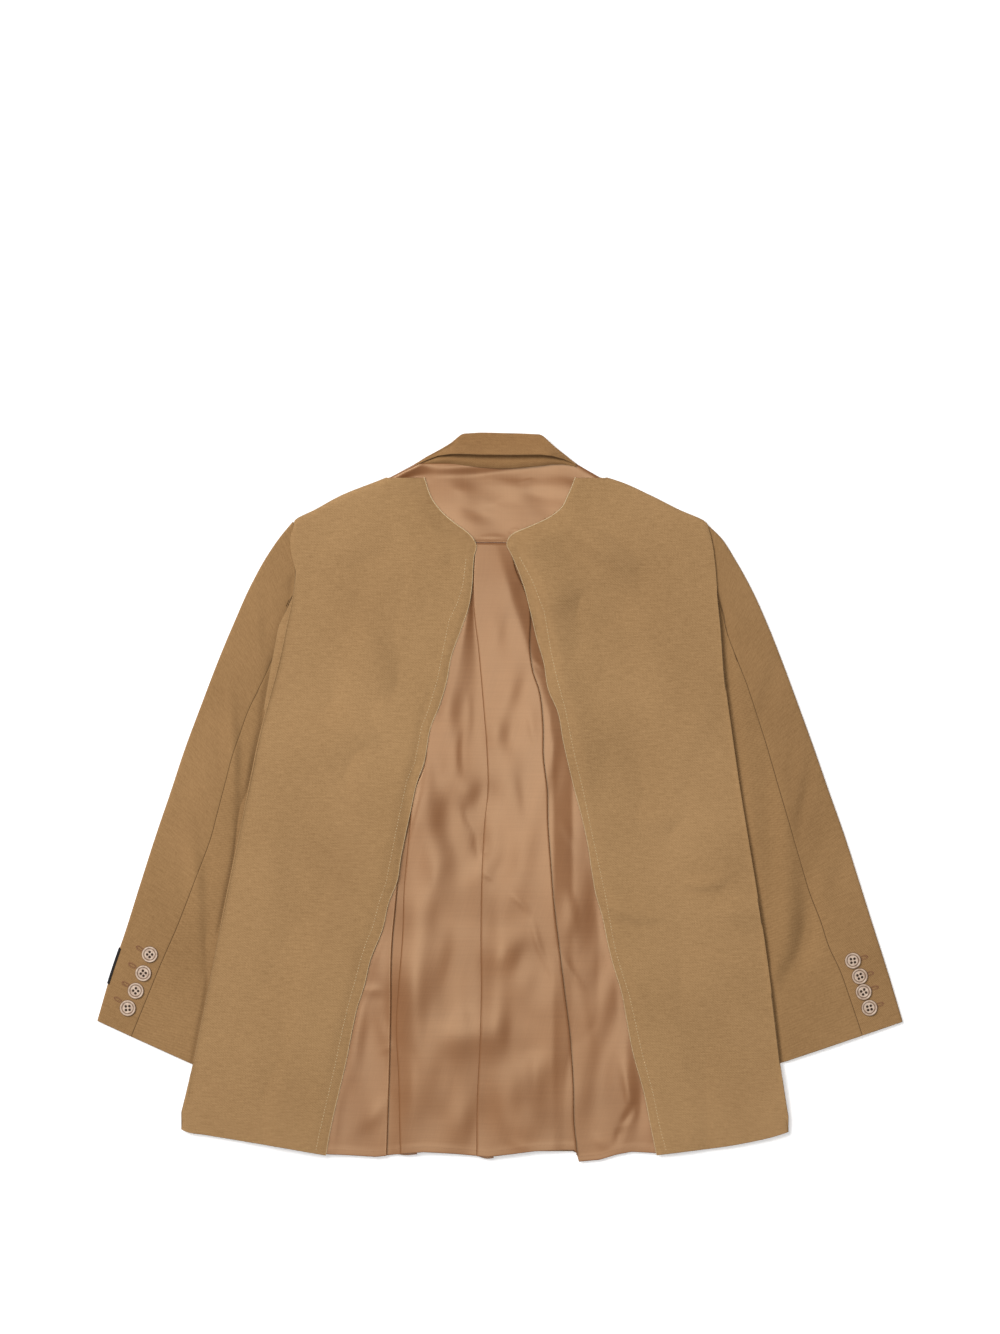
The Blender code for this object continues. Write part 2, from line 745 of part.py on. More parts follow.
def make_buttons(blazer, cutters, name, size, places, height):
    """A row of like buttons, each its own object, each with its own peg cutter."""
    mesh = button_mesh(name, size)
    for number, place in enumerate(places, 1):
        item = bpy.data.objects.new(f"{name}_{number}", mesh.copy())
        blazer.objects.link(item)
        item.location = Vector((place.x, place.y, height(place))) * MM
        cutter = hole_cutter(cutters, f"{name}_holes_{number}", size)
        cutter.location = item.location
        cut = item.modifiers.new("holes", "BOOLEAN")
        cut.operation = "DIFFERENCE"
        cut.solver = "EXACT"
        cut.object = cutter
        item.data.shade_smooth()
        item.data.set_sharp_from_angle(angle=math.radians(40))
        finish_with(item, "button")


def make_front_buttons(blazer, cutters, pile):
    make_buttons(blazer, cutters, "front_button", FRONT_BUTTON, FRONT_BUTTONS, lambda place: 0.0)
    for number, place in enumerate(FRONT_BUTTONS, 1):
        half = FRONT_BUTTON.diameter / 2
        ends = [((place.x - half, place.y + lift), (place.x + half, place.y + lift)) for lift in (half, -half)]
        plan = panel_grid(ends, 3)
        flat = np.full(plan.shape[:2], FRONT_BUTTON.thickness / 2)
        pile.lay(f"front_button_{number}", np.dstack([plan, flat]), FRONT_BUTTON.thickness)


def make_cuff_buttons(blazer, cutters, pile, side, places):
    top = pile.tops[f"cuff_{side}"]
    reach = CUFF_BUTTON.diameter / 2

    def height(place):
        turns = np.linspace(0, 2 * math.pi, 24)
        rows, columns = pile.cells(place.x + reach * np.cos(turns), place.y + reach * np.sin(turns))
        return float(top[rows, columns].max()) + GAP

    make_buttons(blazer, cutters, f"cuff_button_{side}", CUFF_BUTTON, places, height)


def make_label(blazer):
    """A bare strip that stands along the folded outer edge of the left sleeve."""
    upper, lower = (LEFT_SLEEVE[number] for number in LABEL_ROWS)
    first = np.array([upper.outer_x, upper.outer_y])
    run = np.array([lower.outer_x, lower.outer_y]) - first
    out = np.array([run[1], -run[0]]) / np.hypot(*run)
    shift = out * (GAP + LABEL_THICKNESS / 2)
    rows = []
    for share in LABEL_SHARES:
        place = first + run * share + shift
        rows.append([(*place, LABEL_FOOT), (*place, LABEL_FOOT + LABEL_HEIGHT)])
    make_cloth(blazer, "sleeve_label", np.array(rows), LABEL_THICKNESS, "label")


def centre_on_floor(blazer):
    """Moves the garment so that the middle of its box is over the origin and its underside at zero."""
    bpy.context.view_layer.update()
    graph = bpy.context.evaluated_depsgraph_get()
    corners = []
    for item in blazer.objects:
        shown = item.evaluated_get(graph)
        mesh = shown.to_mesh()
        points = np.empty(len(mesh.vertices) * 3)
        mesh.vertices.foreach_get("co", points)
        corners.append(points.reshape(-1, 3) + np.array(item.location))
        shown.to_mesh_clear()
    points = np.vstack(corners)
    low = points.min(axis=0)
    high = points.max(axis=0)
    shift = Vector((-(low[0] + high[0]) / 2, -(low[1] + high[1]) / 2, -low[2]))
    for item in bpy.data.objects:
        item.location += shift


def main():
    clear_scene()
    blazer = make_collection("blazer")
    cutters = make_collection("cutters", hidden=True)
    pile = Pile()
    make_sleeve(blazer, pile, "left", LEFT_SLEEVE, LEFT_BACK_SEAM)
    make_sleeve(blazer, pile, "right", RIGHT_SLEEVE, RIGHT_BACK_SEAM)
    make_front_buttons(blazer, cutters, pile)
    buttons = [f"front_button_{number}" for number in range(1, len(FRONT_BUTTONS) + 1)]
    make_turned_piece(blazer, pile, "lapel_right", "right", LAPEL, [])
    make_turned_piece(blazer, pile, "collar_leaf_right", "right", COLLAR_LEAF, [])
    make_turned_piece(blazer, pile, "collar_leaf_left", "left", COLLAR_LEAF, [])
    floor_right = ["lapel_right", "collar_leaf_right", "sleeve_right", *buttons]
    make_front(blazer, pile, "right", floor_right)
    make_turned_piece(blazer, pile, "lapel_left", "left", LAPEL, ["lapel_right", "front_right"])
    floor_left = ["lapel_left", "collar_leaf_left", "sleeve_left", "front_right", *buttons]
    make_front(blazer, pile, "left", floor_left)
    make_side_panel(blazer, pile, "left")
    make_side_panel(blazer, pile, "right")
    make_yoke(blazer, pile)
    make_pleated_panel(blazer, pile)
    make_back(blazer, pile, "left")
    make_back(blazer, pile, "right")
    make_collar(blazer, pile)
    make_cuff_buttons(blazer, cutters, pile, "left", LEFT_CUFF_BUTTONS)
    make_cuff_buttons(blazer, cutters, pile, "right", RIGHT_CUFF_BUTTONS)
    make_label(blazer)
    centre_on_floor(blazer)


main()
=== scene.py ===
# An open-back blazer laid flat with its back up: wool shell, satin lining, buttons and stitching
import math

import bmesh
import bpy
import numpy as np
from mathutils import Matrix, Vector
from mathutils.bvhtree import BVHTree


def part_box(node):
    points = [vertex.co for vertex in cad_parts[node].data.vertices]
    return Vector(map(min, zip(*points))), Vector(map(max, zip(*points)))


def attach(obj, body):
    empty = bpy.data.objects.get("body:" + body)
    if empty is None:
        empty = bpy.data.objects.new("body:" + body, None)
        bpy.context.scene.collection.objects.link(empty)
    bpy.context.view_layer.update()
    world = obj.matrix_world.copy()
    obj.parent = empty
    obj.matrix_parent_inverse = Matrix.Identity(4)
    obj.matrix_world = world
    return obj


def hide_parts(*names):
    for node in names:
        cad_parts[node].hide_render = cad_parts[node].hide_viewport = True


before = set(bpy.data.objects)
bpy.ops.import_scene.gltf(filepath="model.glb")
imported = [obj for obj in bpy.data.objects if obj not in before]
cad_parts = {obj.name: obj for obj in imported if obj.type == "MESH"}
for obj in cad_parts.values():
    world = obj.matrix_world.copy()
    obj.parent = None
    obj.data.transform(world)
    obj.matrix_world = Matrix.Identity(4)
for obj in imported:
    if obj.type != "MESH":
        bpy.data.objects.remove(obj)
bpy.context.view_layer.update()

outward = {"left": -1, "right": 1}

cloth = {
    "shiftY": -0.00315,  # the plan is drawn from the waist, and the garment is centred on its box
    "wool": 0.0015,
    "satin": 0.0010,
    "gap": 0.0003,
    "rimBulge": 0.35,  # how round a cut or folded rim is, as a share of the wall
}


# Plan and curves

def traced(points):
    # millimetres on the plan to metres in the frame
    out = np.array(points, float) * 0.001
    out[:, 1] += cloth["shiftY"]
    return out


def onPlan(y):
    return y * 0.001 + cloth["shiftY"]


def tabled(table, y, column=1):
    # the value at each y, from rows in millimetres that start with a falling y
    rows = np.array(table, float)
    return np.interp(-y, -onPlan(rows[:, 0]), rows[:, column] * 0.001)


def through(keys, values, at):
    # a smooth curve through the values at their keys
    keys = np.asarray(keys, float)
    order = np.argsort(keys)
    keys = keys[order]
    values = np.asarray(values, float)[order]
    slope = np.gradient(values, keys)
    at = np.clip(at, keys[0], keys[-1])
    i = np.clip(np.searchsorted(keys, at) - 1, 0, len(keys) - 2)
    step = keys[i + 1] - keys[i]
    t = (at - keys[i]) / step
    ends = (2 * t**3 - 3 * t**2 + 1) * values[i] + (3 * t**2 - 2 * t**3) * values[i + 1]
    return ends + step * ((t**3 - 2 * t**2 + t) * slope[i] + (t**3 - t**2) * slope[i + 1])


def easing(value):
    held = np.clip(value, 0, 1)
    return held * held * (3 - 2 * held)


def awayFrom(x, y, path):
    # how far plan points are from a line
    points = np.column_stack([np.ravel(x), np.ravel(y)])
    near = np.full(len(points), np.inf)
    for first, last in zip(path[:-1], path[1:]):
        run = last - first
        along = np.clip((points - first) @ run / max(run @ run, 1e-12), 0, 1)
        near = np.minimum(near, np.hypot(*(points - first - along[:, None] * run).T))
    return near.reshape(np.shape(x))


def spread(count, start, end, tight=0.0, close=0.0008):
    # shares of a run from start to end, closer together at the ends named by tight: 1 first, 2 last, 3 both
    share = np.linspace(0, 1, count)
    extra = []
    size = max(abs(end - start), 1e-6)
    if tight in (1, 3):
        extra += [close / size, 2.4 * close / size]
    if tight in (2, 3):
        extra += [1 - close / size, 1 - 2.4 * close / size]
    share = np.sort(np.concatenate([share, extra]))
    return start + (end - start) * share


def creased(x, y, folds):
    # soft ridges and troughs: from x0 y0 to x1 y1 with a width and a height, all in millimetres
    total = np.zeros(np.shape(x))
    for number, (x0, y0, x1, y1, width, height) in enumerate(folds):
        start, end = traced([(x0, y0), (x1, y1)])
        run = end - start
        length = max(np.hypot(*run), 1e-6)
        reach = width * 0.001
        ahead = ((x - start[0]) * run[0] + (y - start[1]) * run[1]) / length
        aside = ((x - start[0]) * run[1] - (y - start[1]) * run[0]) / length
        share = np.clip((ahead + reach) / (length + 2 * reach), 0, 1)
        swell = np.sin(np.pi * share)
        sway = math.sin(2.4 * number + 0.7)
        aside = aside + 0.06 * sway * length * swell  # each one bends, thins out and leans in its own way
        slim = reach * (0.75 + 0.5 * (share if sway > 0 else 1 - share))
        slim = slim * np.where(aside * sway > 0, 1.25, 0.85)
        total = total + height * 0.001 * swell**1.3 * np.exp(-((aside / slim) ** 2))
    return total


def leaning(x, y, patches, way=(0.80, -0.60)):
    # places where the cloth leans over: middle x y, half width, half length, turn of the length, slope that way
    total = np.zeros(np.shape(x))
    for px, py, halfWidth, halfLength, turn, slope in patches:
        middle = traced([(px, py)])[0]
        c, s = math.cos(math.radians(turn)), math.sin(math.radians(turn))
        aside = ((x - middle[0]) * c + (y - middle[1]) * s) / (1.35 * halfWidth * 0.001)
        along = ((y - middle[1]) * c - (x - middle[0]) * s) / (1.25 * halfLength * 0.001)
        fall = (x - middle[0]) * way[0] + (y - middle[1]) * way[1]
        total = total - slope * fall * np.exp(-(aside**2) - along**2)
    return total


# The pile: how high the cloth reaches over square cells

pile = {"cell": 0.003, "halfX": 0.486, "halfY": 0.441}
pileTops = {}


def cells(x, y):
    return (np.asarray(y) + pile["halfY"]) / pile["cell"], (np.asarray(x) + pile["halfX"]) / pile["cell"]


def topOf(points):
    shape = (int(2 * pile["halfY"] / pile["cell"]), int(2 * pile["halfX"] / pile["cell"]))
    top = np.full(shape, -np.inf)
    row, column = cells(points[:, 0], points[:, 1])
    row = np.clip(row.astype(int), 0, shape[0] - 1)
    column = np.clip(column.astype(int), 0, shape[1] - 1)
    np.maximum.at(top, (row, column), points[:, 2])
    return top


def topOfNode(node):
    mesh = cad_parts[node].data
    mesh.calc_loop_triangles()
    places = np.array([v.co for v in mesh.vertices])
    corners = places[np.array([t.vertices for t in mesh.loop_triangles])]
    steps = np.linspace(0, 1, 22)
    shares = [(a, b, 1 - a - b) for a in steps for b in steps if a + b <= 1.0001]
    points = np.einsum("sk,tkc->tsc", np.array(shares), corners).reshape(-1, 3)
    return topOf(points)


def grown(field, reachX, reachY=None):
    # each cell takes the greatest height within reach of it
    for axis, reach in ((0, reachY or reachX), (1, reachX)):
        count = int(math.ceil(reach / pile["cell"]))
        field = np.maximum.reduce([np.roll(field, shift, axis) for shift in range(-count, count + 1)])
    return field


def filled(field, reach=60):
    # heights carried on past the edge of a piece
    out = field.copy()
    for _ in range(reach):
        known = np.isfinite(out)
        total = np.zeros(out.shape)
        count = np.zeros(out.shape)
        for axis, shift in ((0, 1), (0, -1), (1, 1), (1, -1)):
            moved = np.roll(out, shift, axis)
            fine = np.isfinite(moved)
            total += np.where(fine, moved, 0)
            count += fine
        out = np.where(known | (count == 0), out, total / np.maximum(count, 1))
    return np.where(np.isfinite(out), out, 0)


def softened(field, reach):
    count = max(1, int(round(reach / pile["cell"])))
    for axis in (0, 1):
        field = np.mean([np.roll(field, shift, axis) for shift in range(-count, count + 1)], axis=0)
    return field


def heightAt(field, x, y):
    row, column = cells(x, y)
    row = np.clip(row - 0.5, 0, field.shape[0] - 1.001)
    column = np.clip(column - 0.5, 0, field.shape[1] - 1.001)
    r = row.astype(int)
    c = column.astype(int)
    fr = row - r
    fc = column - c
    low = field[r, c] * (1 - fc) + field[r, c + 1] * fc
    high = field[r + 1, c] * (1 - fc) + field[r + 1, c + 1] * fc
    return low * (1 - fr) + high * fr


def rolledDown(z, low, away, width):
    # cloth that turns down towards its edge, a quarter of a round
    share = np.clip(away / width, 0, 1)
    return np.where(share < 1, low + (z - low) * np.sqrt(np.clip(1 - (1 - share) ** 2, 0, 1)), z)


def solidTop(node, soft=0.008):
    # the upper face of a solid, its flat facets eased
    return softened(softened(filled(grown(topOfNode(node), 0.001)), soft), soft / 2)


# Cloth

def faceWays(grid):
    across = np.gradient(grid, axis=1)
    down = np.gradient(grid, axis=0)
    normal = np.cross(across, down)
    normal /= np.maximum(np.linalg.norm(normal, axis=2, keepdims=True), 1e-12)
    return across, down, normal


def unit(way):
    return way / np.maximum(np.linalg.norm(way, axis=-1, keepdims=True), 1e-12)


def sew(name, grid, thick, look, grain=None):
    # a closed wall of cloth through a grid of middle points, its first column on an upper layer
    rows, columns = grid.shape[:2]
    across, down, normal = faceWays(grid)
    turned = normal[rows // 2, 0, 2] < 0
    if turned:
        normal = -normal
    half = np.broadcast_to(np.asarray(thick) / 2, (rows, columns))[..., None]
    out = np.zeros(grid.shape)
    out[0] -= unit(down)[0]
    out[-1] += unit(down)[-1]
    out[:, 0] -= unit(across)[:, 0]
    out[:, -1] += unit(across)[:, -1]
    bulge = unit(out) * half * 2 * cloth["rimBulge"]
    bulge[1:-1, 1:-1] = 0
    inner = grid - bulge
    upper = (inner + normal * half).reshape(-1, 3)
    lower = (inner - normal * half).reshape(-1, 3)
    ids = np.arange(rows * columns).reshape(rows, columns)
    loop = np.concatenate([ids[0, :-1], ids[:-1, -1], ids[-1, :0:-1], ids[:0:-1, 0]])
    rim = grid.reshape(-1, 3)[loop]
    quads = np.stack([ids[:-1, :-1], ids[:-1, 1:], ids[1:, 1:], ids[1:, :-1]], axis=-1).reshape(-1, 4)
    size = rows * columns
    middle = 2 * size + np.arange(len(loop))
    after = np.roll(loop, -1)
    middleAfter = np.roll(middle, -1)
    faces = np.concatenate([
        quads,
        quads[:, ::-1] + size,
        np.stack([after, loop, middle, middleAfter], axis=-1),
        np.stack([middleAfter, middle, loop + size, after + size], axis=-1),
    ])
    if turned:
        faces = faces[:, ::-1]
    mesh = bpy.data.meshes.new(name)
    mesh.from_pydata(np.concatenate([upper, lower, rim]).tolist(), [], faces.tolist())
    mesh.shade_smooth()
    if grain is None:
        grain = grid[..., :2]
    flat = grain.reshape(-1, 2)
    places = np.concatenate([flat, flat, flat[loop]])
    layer = mesh.uv_layers.new(name="grain")
    corners = np.empty(len(mesh.loops), np.int32)
    mesh.loops.foreach_get("vertex_index", corners)
    layer.data.foreach_set("uv", places[corners].astype(np.float32).ravel())
    piece = bpy.data.objects.new(name, mesh)
    bpy.context.scene.collection.objects.link(piece)
    mesh.materials.append(look)
    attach(piece, "root")
    pileTops[name] = topOf(denser(grid + normal * half))
    return piece


def denser(grid):
    # points between the grid's own, so that no cell of the pile is missed
    steps = (0, 0.25, 0.5, 0.75)
    parts = []
    for a in steps:
        for b in steps:
            near = grid[:-1, :-1] * (1 - a) * (1 - b) + grid[1:, :-1] * a * (1 - b)
            parts.append((near + grid[:-1, 1:] * (1 - a) * b + grid[1:, 1:] * a * b).reshape(-1, 3))
    return np.concatenate(parts)


def developed(grid):
    # the cloth's own measure across and along, for the weave
    across = np.linalg.norm(np.diff(grid, axis=1), axis=2)
    along = np.linalg.norm(np.diff(grid, axis=0), axis=2)
    u = np.concatenate([np.zeros((len(grid), 1)), np.cumsum(across, axis=1)], axis=1)
    v = np.concatenate([np.zeros((1, grid.shape[1])), np.cumsum(along, axis=0)], axis=0)
    return np.dstack([u, -np.broadcast_to(v.mean(axis=1)[:, None], u.shape)])


def clothArea(grid):
    a = grid[1:, :-1] - grid[:-1, :-1]
    b = grid[:-1, 1:] - grid[:-1, :-1]
    return float(np.linalg.norm(np.cross(a, b), axis=2).sum())


def cutOf(grid):
    width = float(np.linalg.norm(np.diff(grid, axis=1), axis=2).sum(axis=1).max())
    length = float(np.linalg.norm(np.diff(grid, axis=0), axis=2).sum(axis=0).max())
    area = min(clothArea(grid), width * length)
    return round(width, 3), round(length, 3), round(area, 4)


def declare(node):
    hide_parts(node)


# Materials

def linked(tree, kind, mode=None, **inputs):
    # a new node: mode is one of its settings with its value, and _ stands for a space in an input's name
    made = tree.nodes.new(kind)
    if mode:
        setattr(made, *mode)
    for key, value in inputs.items():
        socket = made.inputs[key.replace("_", " ")]
        if hasattr(value, "links"):
            tree.links.new(value, socket)
        else:
            socket.default_value = value
    return made


def mixed(tree, factor, first, second):
    made = tree.nodes.new("ShaderNodeMix")
    made.data_type = "RGBA"
    for number, value in ((0, factor), (6, first), (7, second)):
        if hasattr(value, "links"):
            tree.links.new(value, made.inputs[number])
        else:
            made.inputs[number].default_value = value
    return made.outputs[2]


def scaled(tree, vector, size, turn=0.0):
    return linked(tree, "ShaderNodeMapping", Vector=vector, Scale=size, Rotation=(0, 0, turn)).outputs["Vector"]


def noisy(tree, vector, scale, detail=2.0, rough=0.5):
    made = linked(tree, "ShaderNodeTexNoise", Vector=vector, Scale=scale, Detail=detail, Roughness=rough)
    return made.outputs["Fac"]


def summed(tree, first, second, share):
    made = tree.nodes.new("ShaderNodeMath")
    made.operation = "MULTIPLY_ADD"
    tree.links.new(second, made.inputs[0])
    made.inputs[1].default_value = share
    tree.links.new(first, made.inputs[2])
    return made.outputs[0]


def levels(tree, value, span):
    # a span of values drawn out to the whole of 0 to 1
    made = linked(tree, "ShaderNodeMapRange", Value=value, From_Min=span[0], From_Max=span[1])
    return made.outputs["Result"]


def surface(name, **inputs):
    made = bpy.data.materials.new(name)
    made.use_nodes = True
    shader = made.node_tree.nodes["Principled BSDF"]
    for key, value in inputs.items():
        shader.inputs[key.replace("_", " ")].default_value = value
    return made, made.node_tree, shader


def coloured(tree, shader, factor, dark, light):
    tree.links.new(mixed(tree, factor, dark, light), shader.inputs["Base Color"])


def bumped(tree, shader, height, strength, distance):
    bump = linked(tree, "ShaderNodeBump", Height=height, Strength=strength, Distance=distance)
    tree.links.new(bump.outputs["Normal"], shader.inputs["Normal"])


def grainOf(tree):
    return linked(tree, "ShaderNodeUVMap", ("uv_map", "grain")).outputs["UV"]


def placeOf(tree):
    return tree.nodes.new("ShaderNodeTexCoord").outputs["Object"]


woolLook = {
    "light": (0.410, 0.244, 0.110),
    "dark": (0.262, 0.147, 0.060),
    "roughness": 0.88,
    "specular": 0.2,
    "sheen": 0.06,
    "sheenRoughness": 0.5,
    "sheenTint": (1.0, 0.84, 0.6, 1),
    "twillPitch": 0.0016,
    "twillTurn": 58,
    "bump": (0.45, 0.0004),
    # how much the weave's fields count in the colour beside the yarn's own
    "patches": 0.75,
    "weft": 0.7,
    "warp": 0.5,
    "slub": 0.35,
    "twill": 0.25,
    "span": (1.36, 2.20),  # their sum lies about 1.78, and nearly all of it in here
    # and how much two of them count in the relief beside the twill
    "yarnRelief": 1.6,
    "weftRelief": 0.8,
}


def wool(name, shadeTone=(1, 1, 1)):
    look = woolLook
    made, tree, shader = surface(
        name, Roughness=look["roughness"], Specular_IOR_Level=look["specular"], Sheen_Weight=look["sheen"],
        Sheen_Roughness=look["sheenRoughness"], Sheen_Tint=look["sheenTint"])
    uv = grainOf(tree)
    yarn = noisy(tree, uv, 620, 3, 0.75)
    slant = scaled(tree, uv, (1, 1, 1), math.radians(look["twillTurn"]))
    pitch = math.pi / (10 * look["twillPitch"])
    twill = linked(tree, "ShaderNodeTexWave", Vector=slant, Scale=pitch, Distortion=1.5, Detail=1)
    fields = {
        "patches": noisy(tree, placeOf(tree), 7, 2),
        "weft": noisy(tree, scaled(tree, uv, (110, 760, 1)), 1, 3),
        "warp": noisy(tree, scaled(tree, uv, (760, 120, 1)), 1, 3),
        "slub": noisy(tree, scaled(tree, uv, (60, 420, 1)), 1, 1),
        "twill": twill.outputs["Fac"],
    }
    mix = yarn
    for field, output in fields.items():
        mix = summed(tree, mix, output, look[field])
    # the colours scaled down by the tone: painted shade on a darker copy of this wool
    dark, light = [[min(1, value * t) for value, t in zip(look[end], shadeTone)] + [1] for end in ("dark", "light")]
    coloured(tree, shader, levels(tree, mix, look["span"]), dark, light)
    relief = summed(tree, fields["twill"], yarn, look["yarnRelief"])
    relief = summed(tree, relief, fields["weft"], look["weftRelief"])
    bumped(tree, shader, relief, *look["bump"])
    return made


satinLook = {
    "light": (0.246, 0.104, 0.042, 1),
    "dark": (0.196, 0.079, 0.031, 1),
    "roughness": 0.37,
    "specular": 1.0,
    "gleam": (1.0, 0.73, 0.46, 1),
    "anisotropy": 0.35,
    "weft": 0.6,
    "warp": 0.45,
    "span": (0.78, 1.28),
    "bump": (0.06, 0.0002),
}


def satin(name):
    look = satinLook
    made, tree, shader = surface(
        name, Roughness=look["roughness"], Specular_IOR_Level=look["specular"], Specular_Tint=look["gleam"],
        Anisotropic=look["anisotropy"])
    uv = grainOf(tree)
    weft = noisy(tree, scaled(tree, uv, (12, 560, 1)), 1, 3)
    warp = noisy(tree, scaled(tree, uv, (900, 16, 1)), 1, 2)
    mix = noisy(tree, scaled(tree, placeOf(tree), (1.6, 0.7, 1)), 14, 2, 0.5)
    mix = summed(tree, summed(tree, mix, weft, look["weft"]), warp, look["warp"])
    coloured(tree, shader, levels(tree, mix, look["span"]), look["dark"], look["light"])
    bumped(tree, shader, weft, *look["bump"])
    return made


def yarnLook(name, light, dark):
    # spun thread: its colour wanders a little along the yarn
    made, tree, shader = surface(name, Roughness=0.8, Specular_IOR_Level=0.25)
    coloured(tree, shader, noisy(tree, placeOf(tree), 900, 2), (*dark, 1), (*light, 1))
    return made


hornLook = {
    "dark": (0.40, 0.275, 0.195, 1),
    "light": (0.60, 0.455, 0.345, 1),
    # the colour of the painted shade in the groove and round the edge
    "paintedShade": (0.085, 0.038, 0.020, 1),
    "span": (0.36, 0.64),
}


def buttonShell(name):
    # pale horn with soft clouds; painted shade darkens the turned groove and the rim's edge
    made, tree, shader = surface(
        name, Roughness=0.42, Specular_IOR_Level=0.4, Coat_Weight=0.10, Coat_Roughness=0.25)
    clouds = levels(tree, noisy(tree, placeOf(tree), 260, 3, 0.6), hornLook["span"])
    horn = mixed(tree, clouds, hornLook["dark"], hornLook["light"])
    shadeMask = linked(tree, "ShaderNodeAttribute", ("attribute_name", "paintedShade"))
    coloured(tree, shader, shadeMask.outputs["Fac"], horn, hornLook["paintedShade"])
    return made


def darkTape(name):
    # plain woven tape: a fine rib across it
    made, tree, shader = surface(name, Roughness=0.9, Specular_IOR_Level=0.1)
    ribs = noisy(tree, scaled(tree, grainOf(tree), (200, 2200, 1)), 1, 2)
    coloured(tree, shader, ribs, (0.010, 0.009, 0.009, 1), (0.030, 0.027, 0.027, 1))
    bumped(tree, shader, ribs, 0.4, 0.0002)
    return made


bodyWool = wool("camelWool")
# darker copies of the body's wool for the sleeves and the collar: painted shade
shadedSleeveWool = wool("camelWoolSleeveShaded", (0.88, 0.85, 0.81))
shadedCollarWool = wool("camelWoolCollarShaded", (0.82, 0.75, 0.68))
liningSatin = satin("tanSatin")
paleYarn = yarnLook("paleStayThread", (0.82, 0.68, 0.44), (0.62, 0.48, 0.28))
looseYarn = yarnLook("looseWoolYarn", (0.50, 0.34, 0.17), (0.36, 0.22, 0.10))
rustThread = yarnLook("rustThread", (0.260, 0.105, 0.062), (0.140, 0.052, 0.030))
satinThread = yarnLook("satinThread", (0.26, 0.12, 0.055), (0.18, 0.08, 0.035))
# near-black thread for the button holes: thread with the holes' shade painted in
threadWithHoleShade = yarnLook("threadWithHoleShade", (0.060, 0.035, 0.022), (0.030, 0.018, 0.012))
paleHorn = buttonShell("paleHorn")
labelTape = darkTape("labelTape")
print("materials made")


# The body's plan

